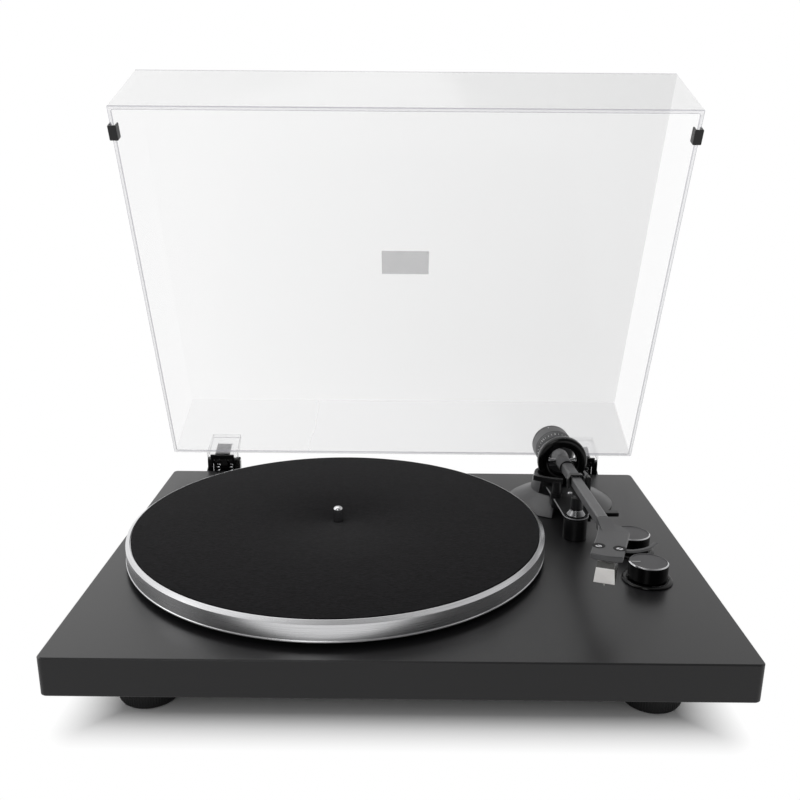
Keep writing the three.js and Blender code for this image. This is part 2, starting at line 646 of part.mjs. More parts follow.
// The fixed half of a hinge, drawn about the hinge axis.
function hingeBracket(name, x) {
  const wallFace = plinth.depth / 2 + seatGap - hingeY;
  const [baseTop, baseBottom] = [hinge.baseTop - hingeZ, hinge.baseBottom - hingeZ];
  const half = hinge.width / 2;
  const ear = earShape(hinge.earRadius, baseTop - overrun, wallFace, hinge.stepDown);
  const inner = hinge.block;
  const middle = earShape(hinge.earRadius, baseTop - overrun, -hinge.earRadius, 0);
  const body = joined(
    block(x - half, x + half, wallFace, wallFace + hinge.depth, baseBottom, baseTop),
    block(x - half, x + half, wallFace, wallFace + hinge.plate, baseTop - overrun, hinge.plateTop - hingeZ),
    acrossX(ear, x - half, x - half + hinge.ear),
    acrossX(ear, x + half - hinge.ear, x + half),
    acrossX(middle, x - inner, x + inner));
  const bore = acrossX(circle(hinge.pin + seatGap), x - hinge.width, x + hinge.width);
  return placed(piece(name, cutBy(body, bore), 0x141416, 0.4), 0, hingeY, hingeZ);
}

function hingePin(name, x) {
  const half = hinge.width / 2;
  return placed(piece(name, acrossX(circle(hinge.pin), x - half, x + half), 0xb5b7ba, 0.3, 0.9), 0, hingeY, hingeZ);
}

function coilSpring(name, x) {
  const turns = (spring.top - spring.bottom) / spring.pitch;
  const count = Math.round(turns * springSteps);
  const lean = Math.atan2(spring.pitch, 2 * Math.PI * spring.radius);
  const centres = [];
  const points = [];
  for (let i = 0; i <= count; i += 1) {
    const angle = (2 * Math.PI * turns * i) / count;
    const radial = new THREE.Vector3(Math.cos(angle), Math.sin(angle), 0);
    const centre = radial.clone().multiplyScalar(spring.radius);
    centre.z = spring.bottom + ((spring.top - spring.bottom) * i) / count;
    const side = new THREE.Vector3(
      Math.sin(angle) * Math.sin(lean), -Math.cos(angle) * Math.sin(lean), Math.cos(lean));
    centres.push(centre);
    for (let k = 0; k < springSides; k += 1) {
      const around = (2 * Math.PI * k) / springSides;
      const point = centre.clone()
        .addScaledVector(radial, spring.wire * Math.cos(around))
        .addScaledVector(side, spring.wire * Math.sin(around));
      points.push(point.x, point.y, point.z);
    }
  }
  let least = Infinity;
  for (let i = 0; i <= count; i += 1) {
    for (let j = i + springSteps / 2; j <= count; j += 1) {
      least = Math.min(least, centres[i].distanceTo(centres[j]) - 2 * spring.wire);
    }
  }
  console.log(`${name}: least gap to itself ${least.toFixed(2)} mm`);
  const index = [];
  for (let i = 0; i < count; i += 1) {
    for (let k = 0; k < springSides; k += 1) {
      const [a, b] = [i * springSides + k, i * springSides + ((k + 1) % springSides)];
      index.push(a, b, a + springSides, b, b + springSides, a + springSides);
    }
  }
  const last = count * springSides;
  for (let k = 1; k < springSides - 1; k += 1) {
    index.push(0, k + 1, k, last, last + k, last + k + 1);
  }
  const geometry = new THREE.BufferGeometry();
  geometry.setAttribute('position', new THREE.Float32BufferAttribute(points, 3));
  geometry.setIndex(index);
  return placed(piece(name, geometry, 0xc3c5c8, 0.25, 0.9), x, hingeY);
}

function coverGroup() {
  const group = new THREE.Group();
  group.add(dustCover());
  for (const [name, side] of [['left', -1], ['right', 1]]) {
    group.add(
      coverBumper(`cover_bumper_${name}`, side),
      coverSocket(`cover_socket_${name}`, side * hingeX),
      hingeTongue(`hinge_tongue_${name}`, side * hingeX));
  }
  group.rotation.x = -openAngle;
  return placed(group, 0, hingeY, hingeZ);
}

function hingeParts() {
  const parts = [];
  for (const [name, side] of [['left', -1], ['right', 1]]) {
    const x = side * hingeX;
    parts.push(
      hingeBracket(`hinge_bracket_${name}`, x), hingePin(`hinge_pin_${name}`, x),
      coilSpring(`hinge_spring_${name}_outer`, x + side * spring.x),
      coilSpring(`hinge_spring_${name}_inner`, x - side * spring.x));
  }
  return parts;
}

// Base of the tonearm

const fromPivot = (geometry) => geometry.translate(pivot.x, pivot.y, 0);

function armSkirt() {
  const s = skirt;
  const profile = [
    [s.bore, seatGap], [s.radius, seatGap], [s.radius, s.rim], [s.midRadius, s.midHeight],
    [(s.midRadius + 2 * s.neckRadius) / 3, (s.midHeight + 2 * s.neckHeight) / 3 - s.rim],
    [s.neckRadius, s.neckHeight], [s.waistRadius, s.waistHeight], [s.topRadius, s.topHeight],
    [s.bore, s.topHeight],
  ];
  const inner = pillar.wall + seatGap;
  const opening = common(
    sector(s.radius, s.openFromAngle, s.openToAngle, -overrun, s.topHeight + overrun),
    post(inner, -overrun, s.topHeight + overrun * 2, 40));
  const neckCut = sector(s.neckRadius + overrun, s.openFromAngle, s.openToAngle, s.neckHeight, s.topHeight + overrun);
  const gate = sector(s.radius + overrun, s.gateFromAngle, s.gateToAngle, -overrun, s.topHeight + overrun);
  return piece('arm_skirt', fromPivot(cutBy(turnedRing(profile, 48), opening, neckCut, gate)), 0x77777b, 0.45);
}

function deckOutline() {
  const shape = new THREE.Shape();
  const right = turretX + turret.nose;
  shape.moveTo(turretX - turret.nose, turretY);
  shape.absarc(turretX, turretY, turret.nose, 2 * quarterTurn, 4 * quarterTurn);
  shape.lineTo(right, turretY + deck.edge);
  shape.lineTo(pivot.x + deck.rightReach, pivot.y - deck.rightAhead);
  shape.lineTo(pivot.x + deck.rightReach, pivot.y - deck.rightRearAhead);
  shape.lineTo(pivot.x + deck.joinHalf, pivot.y - deck.joinAhead);
  shape.lineTo(pivot.x - deck.joinHalf, pivot.y - deck.joinAhead);
  shape.lineTo(pivot.x - deck.leftReach, pivot.y - deck.leftAhead);
  return shape;
}

function armPillar() {
  const floor = seatGap;
  const clear = skirt.bore - seatGap;
  const core = fromPivot(post(pillar.core, floor, pillar.coreTop, 32));
  const wall = fromPivot(common(
    sector(pillar.wall + overrun, pillar.wallFromAngle, pillar.wallToAngle, floor, deck.top),
    turnedRing([[pillar.core - overrun, floor - overrun], [pillar.wall, floor - overrun],
      [pillar.wall, deck.top + overrun], [pillar.core - overrun, deck.top + overrun]], 40)));
  const plate = raised(deckOutline(), deck.top - deck.thickness, deck.top, deck.edge, 8);
  const boss = post(lift.bossRadius, deck.top - deck.edge - deck.thickness / 2, lift.bossTop)
    .translate(rodX, rodY, 0);
  const lugBack = leverY - cueLever.hubLength / 2 - seatGap;
  const lug = block(leverX - cueLever.lugHalf, leverX + cueLever.lugHalf / 3,
    lugBack - cueLever.lug, lugBack, cueLever.lugBottom, deck.top - deck.thickness / 2);
  const ringSpace = fromPivot(post(clear, pillar.coreTop, deck.top + overrun, 40));
  const shaftBore = fromPivot(post(ring.shaft + seatGap, floor + pillar.boreFloor, deck.top + overrun));
  const rodBore = post(lift.rodRadius + seatGap, -overrun, lift.bossTop + overrun)
    .translate(rodX, rodY, 0);
  const leverBore = forward(circle(cueLever.shaft + seatGap), 0, 2 * cueLever.lug + overrun)
    .translate(leverX, lugBack + overrun, cueLever.rise);
  const body = cutBy(joined(core, wall, plate, boss, lug), ringSpace, shaftBore, rodBore, leverBore);
  return piece('arm_pillar', body, 0x19191b, 0.45);
}

function turretBody() {
  const top = deck.top - deck.thickness - seatGap;
  return placed(piece('turret', post(turret.radius, seatGap, top, 32), 0x1b1b1d, 0.5), turretX, turretY);
}

function turretCone() {
  const bottom = deck.top + seatGap;
  const { bottomRadius, topRadius, top, lip } = turretNut;
  const profile = [
    [0, bottom], [bottomRadius, bottom], [bottomRadius, bottom + lip], [topRadius, top - lip],
    [topRadius, top], [0, top],
  ];
  return placed(piece('turret_nut', turned(profile, 24), 0xc9cbce, 0.12, 1), turretX, turretY);
}

function armRestPost() {
  const bottom = turretNut.top + seatGap;
  const { radius, top, cradle, cradleRadius, edge } = armRest;
  const profile = [[0, bottom], [radius, bottom], [radius, top - edge], [radius - edge, top], [0, top]];
  const groove = forward(circle(cradleRadius), -2 * radius, 2 * radius).translate(0, 0, top - cradle + cradleRadius);
  return placed(piece('arm_rest', cutBy(turned(profile, 28), groove), 0x151517, 0.5), turretX, turretY);
}

function clipPostBlade() {
  const { thickness, width, top, hookDrop, hookGap } = clipPost;
  const [x, y] = fromArm(clipPost);
  const [right, left] = [x + thickness / 2, x - thickness / 2];
  const hookLeft = pivot.x + collar.half + hookGap;
  const section = outlineOf([
    [left, deck.top + seatGap], [right, deck.top + seatGap], [right, top - hookGap], [right - hookGap, top],
    [hookLeft, top], [hookLeft, top - hookDrop / 2], [left, top - hookDrop],
  ]);
  return placed(piece('clip_post', forward(section, -width / 2, width / 2), 0x151517, 0.45), 0, y);
}

function liftBar() {
  const inner = lift.radius - lift.depth / 2;
  const outer = lift.radius + lift.depth / 2;
  const shape = new THREE.Shape();
  shape.absarc(0, 0, outer, lift.toAngle * degree, lift.fromAngle * degree);
  shape.absarc(0, 0, inner, lift.fromAngle * degree, lift.toAngle * degree, true);
  const bar = fromPivot(raised(shape, lift.bottom, lift.top, 0, 8));
  const rod = post(lift.rodRadius, lift.rodBottom, lift.bottom + lift.depth / 2)
    .translate(rodX, rodY, 0);
  return piece('lift_bar', joined(bar, rod), 0x161618, 0.45);
}

function cueLeverArm() {
  const { hub: radius, hubLength, tip, width, thickness, shaft, lug } = cueLever;
  const half = thickness / 2;
  const barrel = forward(circle(radius), -hubLength / 2, hubLength / 2);
  const stub = forward(circle(shaft), 0, hubLength / 2 + seatGap + lug);
  const bar = raised(roundedRectangle(tip + width / 2, width, width / 4), -half, half, half / 4)
    .translate(tip / 2 - width / 4, 0, 0);
  return placed(piece('cue_lever', joined(barrel, stub, bar), 0x141416, 0.4), leverX, leverY, cueLever.rise);
}

// Tonearm, drawn about its pivot

function gimbalRing() {
  const { outer, inner, depth, edge, innerEdge, shaft, shaftEnd } = ring;
  const half = depth / 2;
  const profile = [
    [inner, -half + innerEdge], [inner + innerEdge, -half], [outer - edge, -half], [outer, -half + edge],
    [outer, half - edge], [outer - edge, half], [inner + innerEdge, half], [inner, half - innerEdge],
  ];
  const hoop = turnedRing(profile, 40).rotateX(quarterTurn);
  return piece('gimbal_ring', joined(hoop, post(shaft, -shaftEnd, edge - outer)), 0x121214, 0.15);
}

function pivotPinOn(name, side) {
  const start = hub.waist + seatGap;
  const end = ring.inner - seatGap;
  const profile = [
    [0, start], [pivotPin.radius, start], [pivotPin.radius, end - pivotPin.headLength],
    [pivotPin.head, end - pivotPin.headLength], [pivotPin.head, end], [0, end],
  ];
  return piece(name, turned(profile, 14).rotateY(side * quarterTurn), 0xc6c8cb, 0.2, 1);
}

function armHub() {
  const { rear, rearRadius, shoulder, waist, front, frontRadius, dome } = hub;
  const profile = [
    [0, -weight.shaftEnd], [weight.shaft, -weight.shaftEnd], [weight.shaft, -rear], [rearRadius - dome, -rear],
    [rearRadius, dome - rear], [rearRadius, -shoulder], [waist, -waist / 2], [waist, waist / 2],
    [frontRadius, shoulder], [frontRadius, front - dome / 2], [frontRadius - dome / 2, front], [0, front],
  ];
  return piece('arm_hub', turnedForward(profile, 22), 0x6f6f73, 0.4, 0.3);
}

function armTube() {
  const section = (half, edge) => outlineOf([
    [-half + edge, -half], [half - edge, -half], [half, -half + edge], [half, half - edge],
    [half - edge, half], [-half + edge, half], [-half, half - edge], [-half, -half + edge],
  ]);
  const sleeve = forward(section(tube.sleeveHalf, tube.sleeveEdge), hub.front + seatGap, tube.sleeveEnd);
  const beam = forward(section(tube.half, tube.edge), hub.front + overrun, tube.end);
  return piece('arm_tube', joined(sleeve, beam), 0x77777b, 0.35, 0.4);
}

function armCollar() {
  const { near, far, half, top, drop, shoulder, leg } = collar;
  const inner = tube.sleeveHalf + seatGap;
  const section = outlineOf([
    [-half, -drop], [-half, top - leg], [-half + shoulder, top], [half - shoulder, top], [half, top - leg],
    [half, -drop], [inner, -drop], [inner, inner], [-inner, inner], [-inner, -drop],
  ]);
  return piece('arm_collar', forward(section, near, far), 0x2a2a2d, 0.35);
}

function counterweight() {
  const { front, rear, radius, edge, shaft, recess, recessDepth } = weight;
  const bore = shaft + seatGap;
  const profile = [
    [bore, recessDepth - rear], [bore, -front], [radius - edge, -front], [radius, -front - edge],
    [radius, edge - rear], [radius - edge, -rear], [recess, -rear], [recess, recessDepth - rear],
    [bore, recessDepth - rear],
  ];
  return piece('counterweight', turnedForward(profile, 36), 0x3a3a3e, 0.45, 0.4);
}

function forceDial() {
  const back = -weight.front + seatGap;
  const front = back + dial.length;
  const bore = weight.shaft + seatGap;
  const profile = [
    [bore, back], [dial.radius, back], [dial.radius, front - dial.edge], [dial.radius - dial.edge, front],
    [bore, front], [bore, back],
  ];
  return piece('force_dial', turnedForward(profile, 28), 0x242427, 0.5);
}

// The headshell stays level, while the tube climbs towards it.
function headshellPlate() {
  const h = headshell;
  const left = h.middle - h.width / 2;
  const right = h.middle + h.width / 2;
  const shape = new THREE.Shape();
  shape.moveTo(left, h.flareLeft);
  shape.lineTo(left, h.front);
  shape.quadraticCurveTo(h.middle, h.front + 2 * h.nose, right, h.front);
  shape.lineTo(right, h.flareRight);
  shape.quadraticCurveTo(right - h.neckHalf, h.neckHalf, h.neckHalf * 1.2, h.neckFlat);
  shape.lineTo(-h.neckHalf / 2, h.neckHalf * 1.6);
  shape.quadraticCurveTo(left, h.flareRight, left, h.flareLeft);
  const plate = raised(shape, h.top - h.thickness, h.top, h.edge, 6).rotateX(2 * quarterTurn)
    .translate(0, 0, 2 * h.top - h.thickness).rotateZ(-h.offsetAngle * degree);
  return plate;
}

const alongShell = (across, ahead) => new THREE.Vector2(across, -ahead)
  .rotateAround(new THREE.Vector2(), -headshell.offsetAngle * degree);

function headshellBody() {
  const h = headshell;
  const neckSide = outlineOf([
    [-h.edge, h.neckBottom], [-h.edge, h.neckTop], [-h.edge - h.neckFlat, h.neckTop],
    [-h.neckLength, h.top], [-h.neckLength, h.top - h.thickness],
  ]);
  const neck = acrossX(neckSide, -h.neckHalf, h.neckHalf);
  const route = new THREE.CatmullRomCurve3(fingerLiftShares
    .map(([out, back, up]) => {
      const at = alongShell(
        h.middle + h.width / 2 - 2 * h.liftWidth + out * (h.liftReach + 2 * h.liftWidth),
        h.liftAt - back * h.liftBack);
      return new THREE.Vector3(at.x, at.y, h.top - h.thickness / 2 + up * h.liftRise);
    }));
  const bar = roundedRectangle(2 * h.liftThickness, 2 * h.liftWidth, h.liftThickness / 2);
  const fingerLift = new THREE.ExtrudeGeometry(
    bar, { steps: 10, bevelEnabled: false, extrudePath: route, curveSegments: 1 });
  const holes = [-1, 1].flatMap((side) => {
    const at = alongShell(h.middle + (side * h.screwSpan) / 2, h.screwAt);
    return [
      post(h.counterbore, h.top - h.counterboreDepth, h.top + overrun, 20).translate(at.x, at.y, 0),
      post(h.screwHole, h.top - h.thickness - overrun, h.top + overrun, 10).translate(at.x, at.y, 0),
    ];
  });
  return piece('headshell', cutBy(joined(headshellPlate(), neck, fingerLift), ...holes), 0x6f6f73, 0.4, 0.3);
}

function cartridgeBody() {
  const c = cartridge;
  const shellBottom = headshell.top - headshell.thickness - seatGap;
  const side = outlineOf([
    [-c.rear, c.bottom], [-c.front + c.chin, c.bottom], [-c.front, c.bottom + c.chinRise], [-c.front, c.top],
    [-c.rear, c.top],
  ]);
  const half = c.width / 2;
  const shelfHalf = c.shelfWidth / 2;
  const body = joined(
    acrossX(side, -half, half),
    block(-shelfHalf, shelfHalf, -headshell.screwAt - c.shelfLength / 2, -headshell.screwAt + c.shelfLength / 2,
      shellBottom - c.shelf, shellBottom));
  const turnedBody = body.translate(headshell.middle, 0, 0).rotateZ(-headshell.offsetAngle * degree);
  return piece('cartridge', turnedBody, 0xd9dadc, 0.3);
}

function stylusBody() {
  const s = stylus;
  const top = cartridge.bottom - seatGap;
  const half = s.width / 2;
  const holder = acrossX(outlineOf([
    [-s.rear, top], [-s.rear, top - s.thickness / 2], [-s.front + s.thickness, top - s.thickness],
    [-s.front, top - s.thickness / 2], [-s.front, top],
  ]), -half, half);
  const from = new THREE.Vector3(0, s.thickness - s.front, top - s.thickness / 2);
  const to = new THREE.Vector3(0, -s.tipAt, -s.rodDrop);
  const rod = new THREE.ExtrudeGeometry(circle(s.rod),
    { steps: 1, bevelEnabled: false, extrudePath: new THREE.LineCurve3(from, to), curveSegments: 6 });
  const tip = post(s.rod / 4, -s.tipDrop, -s.rodDrop + s.rod, 12, s.tipRadius)
    .translate(0, s.rod - s.tipAt, 0);
  const body = joined(holder, rod, tip).translate(headshell.middle, 0, 0).rotateZ(-headshell.offsetAngle * degree);
  return piece('stylus', body, 0x2a2a2c, 0.4);
}

function tonearm() {
  const swing = new THREE.Group();
  const pitch = new THREE.Group();
  const tilted = new THREE.Group();
  const head = new THREE.Group();
  swing.add(gimbalRing(), pivotPinOn('pivot_pin_left', -1), pivotPinOn('pivot_pin_right', 1), pitch);
  tilted.add(armHub(), armTube(), armCollar(), counterweight(), forceDial());
  tilted.rotation.x = -armSlope;
  head.add(headshellBody(), cartridgeBody(), stylusBody());
  head.position.set(0, -tube.end * Math.cos(armSlope), 0);
  pitch.add(tilted, head);
  return placed(swing, pivot.x, pivot.y, pivot.z);
}

function turntable() {
  const onDeck = new THREE.Group();
  onDeck.add(
    plinthBody(), bottomPlate(), ...feet(), driveMotor(), motorPulley(), driveBelt(), bearingHousing(),
    switchBlock('speed_switch', speedY), switchBlock('power_switch', powerY),
    knobBezel('speed_bezel', speedY), knobBezel('power_bezel', powerY),
    turnedKnob('speed_knob', speedY), turnedKnob('power_knob', powerY),
    circuitBoard(), terminalPlate(), phonoJacks(), groundPost(), powerInlet(), platterGroup(), coverGroup(),
    ...hingeParts(), armSkirt(), armPillar(), turretBody(), turretCone(), armRestPost(), clipPostBlade(),
    liftBar(), cueLeverArm(), tonearm());
  onDeck.position.set(0, -middleY, deckHeight);
  const whole = new THREE.Group();
  whole.add(onDeck);
  return whole;
}

const group = turntable();

export default group;
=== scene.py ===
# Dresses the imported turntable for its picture: materials, bevelled and turned pieces, light and camera.
# Sizes in the dictionaries are millimetres; deckPoint turns them into the frame's metres.
import json
import math
import bpy
from mathutils import Matrix, Vector

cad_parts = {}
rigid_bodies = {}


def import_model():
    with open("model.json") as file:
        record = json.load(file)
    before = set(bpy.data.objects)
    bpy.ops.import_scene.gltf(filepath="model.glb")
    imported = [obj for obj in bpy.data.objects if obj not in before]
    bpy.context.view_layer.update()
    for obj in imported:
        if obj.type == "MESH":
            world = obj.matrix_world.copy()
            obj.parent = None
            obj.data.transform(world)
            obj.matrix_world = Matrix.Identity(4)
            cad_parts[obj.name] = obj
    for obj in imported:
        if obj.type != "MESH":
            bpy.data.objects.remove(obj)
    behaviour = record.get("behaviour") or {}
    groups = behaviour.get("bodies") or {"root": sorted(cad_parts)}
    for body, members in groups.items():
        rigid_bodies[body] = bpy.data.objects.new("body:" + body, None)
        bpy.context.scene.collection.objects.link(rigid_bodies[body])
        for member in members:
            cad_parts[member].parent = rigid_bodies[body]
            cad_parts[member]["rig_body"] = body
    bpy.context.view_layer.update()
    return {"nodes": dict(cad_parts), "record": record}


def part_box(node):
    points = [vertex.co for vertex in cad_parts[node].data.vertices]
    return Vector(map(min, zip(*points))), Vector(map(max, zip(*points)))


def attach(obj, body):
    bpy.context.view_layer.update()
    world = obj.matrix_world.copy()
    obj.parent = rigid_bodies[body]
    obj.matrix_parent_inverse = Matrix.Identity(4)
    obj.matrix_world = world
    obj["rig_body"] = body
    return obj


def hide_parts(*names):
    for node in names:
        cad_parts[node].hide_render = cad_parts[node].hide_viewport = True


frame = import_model()
nodes = frame["nodes"]

mm = 0.001
deck = {"top": 46.0, "middleY": 39.787}  # plinth top above the floor, plinth centre behind the frame's origin
platterAxis = (-47.3, 3)
pivot = {"x": 133.4, "y": 95.0, "z": 35.9, "slope": math.atan(0.065)}
axisTurn = Matrix.Rotation(math.pi / 2, 4, "X")


def deckPoint(x, y, z):
    return Vector((x, y - deck["middleY"], z + deck["top"])) * mm


def deckMove(x, y, z):
    return Matrix.Translation(deckPoint(x, y, z))


def armMatrix():
    # along the arm: local +Z points forward, local Y up
    tilt = Matrix.Rotation(-pivot["slope"], 4, "X")
    return deckMove(pivot["x"], pivot["y"], pivot["z"]) @ tilt @ axisTurn


# how pieces are picked, closed, moved and shaped

def pick(piece):
    if bpy.context.object and bpy.context.object.mode != "OBJECT":
        bpy.ops.object.mode_set(mode="OBJECT")
    bpy.ops.object.select_all(action="DESELECT")
    if piece:
        piece.select_set(True)
        bpy.context.view_layer.objects.active = piece
    return piece


def editAll():
    bpy.ops.object.mode_set(mode="EDIT")
    bpy.ops.mesh.select_all(action="SELECT")


def closeUp(distance=0.000005):
    bpy.ops.mesh.select_all(action="SELECT")
    bpy.ops.mesh.remove_doubles(threshold=distance)
    bpy.ops.mesh.normals_make_consistent(inside=False)
    bpy.ops.object.mode_set(mode="OBJECT")


def settle(piece, matrix=None):
    pick(piece)
    if matrix is not None:
        piece.matrix_world = matrix @ piece.matrix_world
    bpy.ops.object.transform_apply(location=True, rotation=True, scale=True)
    return piece


def applyModifier(piece, kind, **values):
    pick(piece)
    modifier = piece.modifiers.new(kind.title(), kind)
    for key, value in values.items():
        setattr(modifier, key, value)
    bpy.ops.object.modifier_apply(modifier=modifier.name)


def softEdges(piece, width, steps=2, limit=32):
    applyModifier(piece, "BEVEL", width=width * mm, segments=steps, limit_method="ANGLE",
                  angle_limit=math.radians(limit), use_clamp_overlap=True, miter_outer="MITER_ARC")
    smoothed(piece, limit)
    # broad faces stay flat beside their bevels
    applyModifier(piece, "WEIGHTED_NORMAL", keep_sharp=True, weight=60)


def smoothed(piece, limit=32):
    pick(piece)
    bpy.ops.object.shade_smooth_by_angle(angle=math.radians(limit))


def copiedNode(node, name):
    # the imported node's own shape, with its loose triangles merged so that it can be bevelled
    piece = bpy.data.objects.new(name, nodes[node].data.copy())
    bpy.context.scene.collection.objects.link(piece)
    pick(piece)
    if piece.data.has_custom_normals:
        bpy.ops.mesh.customdata_custom_splitnormals_clear()
    editAll()
    bpy.ops.mesh.remove_doubles(threshold=0.000004)
    bpy.ops.mesh.dissolve_limited(angle_limit=math.radians(1.0))
    bpy.ops.object.mode_set(mode="OBJECT")
    return piece


def turnedPiece(name, rings, sides=96, matrix=None, loop=False):
    # rings are (radius, height); a circle is drawn out and scaled from one ring to the next
    pick(None)
    radius, height = rings[0]
    bpy.ops.mesh.primitive_circle_add(vertices=sides, radius=radius * mm, fill_type="NOTHING" if loop else "NGON",
                                      location=(0, 0, height * mm))
    piece = bpy.context.object
    piece.name = name
    editAll()
    for nextRadius, nextHeight in rings[1:] + (rings[:1] if loop else []):
        bpy.ops.mesh.extrude_region_move(TRANSFORM_OT_translate={"value": (0, 0, (nextHeight - height) * mm)})
        ratio = nextRadius / radius
        bpy.ops.transform.resize(value=(ratio, ratio, 1), center_override=(0, 0, nextHeight * mm))
        radius, height = nextRadius, nextHeight
    closeUp()
    settle(piece, matrix)
    return piece


def outlinePiece(name, points, depth, matrix=None):
    # a flat outline, drawn from a circle's corners, and pushed out along its own +Z
    pick(None)
    bpy.ops.mesh.primitive_circle_add(vertices=len(points), radius=0.01, fill_type="NGON", location=(0, 0, 0))
    piece = bpy.context.object
    piece.name = name
    for vertex, (across, up) in zip(piece.data.vertices, points):
        vertex.co = Vector((across, up, 0)) * mm
    editAll()
    bpy.ops.mesh.extrude_region_move(TRANSFORM_OT_translate={"value": (0, 0, depth * mm)})
    closeUp()
    settle(piece, matrix)
    return piece


def boxPiece(name, low, high, matrix=None):
    pick(None)
    low, high = Vector(low), Vector(high)
    bpy.ops.mesh.primitive_cube_add(size=mm, location=(0, 0, 0))
    piece = bpy.context.object
    piece.name = name
    editAll()
    bpy.ops.transform.resize(value=tuple(high - low), center_override=(0, 0, 0))
    bpy.ops.transform.translate(value=tuple((low + high) / 2 * mm))
    closeUp()
    settle(piece, matrix)
    return piece


def joinedPieces(pieces, name):
    pick(pieces[0])
    for piece in pieces[1:]:
        piece.select_set(True)
    bpy.ops.object.join()
    pieces[0].name = name
    return pieces[0]


def cutPiece(piece, cutter):
    applyModifier(piece, "BOOLEAN", object=cutter, operation="DIFFERENCE", solver="EXACT")
    bpy.data.objects.remove(cutter)
    return piece


def dress(piece, node, material):
    # the piece stands for its node and rides with the node's body
    piece.data.materials.clear()
    piece.data.materials.append(material)
    for polygon in piece.data.polygons:
        polygon.material_index = 0
    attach(piece, nodes[node]["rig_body"])
    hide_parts(node)
    return piece


def addOn(piece, body, material):
    piece.data.materials.clear()
    piece.data.materials.append(material)
    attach(piece, body)
    return piece


slotOf = {entry["node"]: entry["material_slot"] for entry in frame["record"]["subparts"]}


# finishes

def blankMaterial(name):
    material = bpy.data.materials.new(name)
    material.use_nodes = True
    tree = material.node_tree
    return material, tree, tree.nodes["Principled BSDF"]


def objectCoords(tree, move=(0, 0, 0), turn=(0, 0, 0), scale=(1, 1, 1)):
    coords = tree.nodes.new("ShaderNodeTexCoord")
    mapping = tree.nodes.new("ShaderNodeMapping")
    mapping.inputs["Location"].default_value = move
    mapping.inputs["Rotation"].default_value = turn
    mapping.inputs["Scale"].default_value = scale
    tree.links.new(coords.outputs["Object"], mapping.inputs["Vector"])
    return mapping.outputs["Vector"]


def mathNode(tree, operation, *values, clamp=False):
    node = tree.nodes.new("ShaderNodeMath")
    node.operation = operation
    node.use_clamp = clamp
    for socket, value in zip(node.inputs, values):
        if isinstance(value, (int, float)):
            socket.default_value = value
        else:
            tree.links.new(value, socket)
    return node.outputs["Value"]


def splitAxes(tree, vector):
    node = tree.nodes.new("ShaderNodeSeparateXYZ")
    tree.links.new(vector, node.inputs["Vector"])
    return node.outputs


def vectorNode(tree, operation, vector, output="Vector"):
    node = tree.nodes.new("ShaderNodeVectorMath")
    node.operation = operation
    tree.links.new(vector, node.inputs[0])
    return node.outputs[output]


def noise(tree, vector, scale, detail=4.0, roughness=0.55):
    node = tree.nodes.new("ShaderNodeTexNoise")
    node.inputs["Scale"].default_value = scale
    node.inputs["Detail"].default_value = detail
    node.inputs["Roughness"].default_value = roughness
    tree.links.new(vector, node.inputs["Vector"])
    return node.outputs["Fac"]


def ramp(tree, factor, low, high, lowAt=0.3, highAt=0.7):
    node = tree.nodes.new("ShaderNodeValToRGB")
    node.color_ramp.elements[0].position = lowAt
    node.color_ramp.elements[1].position = highAt
    node.color_ramp.elements[0].color = (*low, 1)
    node.color_ramp.elements[1].color = (*high, 1)
    tree.links.new(factor, node.inputs["Fac"])
    return node.outputs["Color"]


def spread(tree, factor, low, high, fromLow=0.3, fromHigh=0.7):
    node = tree.nodes.new("ShaderNodeMapRange")
    for name, value in (("From Min", fromLow), ("From Max", fromHigh), ("To Min", low), ("To Max", high)):
        node.inputs[name].default_value = value
    tree.links.new(factor, node.inputs["Value"])
    return node.outputs["Result"]


def addBump(tree, shader, height, strength, distance):
    node = tree.nodes.new("ShaderNodeBump")
    node.inputs["Strength"].default_value = strength
    node.inputs["Distance"].default_value = distance * mm
    tree.links.new(height, node.inputs["Height"])
    tree.links.new(node.outputs["Normal"], shader.inputs["Normal"])
    return node


def grained(name, color, shade=0.12, roughness=0.45, roughSpread=0.06, grain=0.25, cloud=30.0,
            bump=0.15, metallic=0.0, **sockets):
    # a moulded, cast or painted finish: cloudy colour, uneven gloss and a fine grain in its surface
    material, tree, shader = blankMaterial(name)
    place = objectCoords(tree)
    clouds = noise(tree, place, 1000.0 / cloud)
    low = tuple(c * (1 - shade) for c in color)
    high = tuple(min(1, c * (1 + shade)) for c in color)
    tree.links.new(ramp(tree, clouds, low, high), shader.inputs["Base Color"])
    fine = noise(tree, place, 1000.0 / grain, 3.0, 0.6)
    tree.links.new(spread(tree, fine, roughness - roughSpread, roughness + roughSpread), shader.inputs["Roughness"])
    addBump(tree, shader, fine, bump, grain * 0.2)
    shader.inputs["Metallic"].default_value = metallic
    for key, value in sockets.items():
        shader.inputs[key.replace("_", " ")].default_value = value
    return material


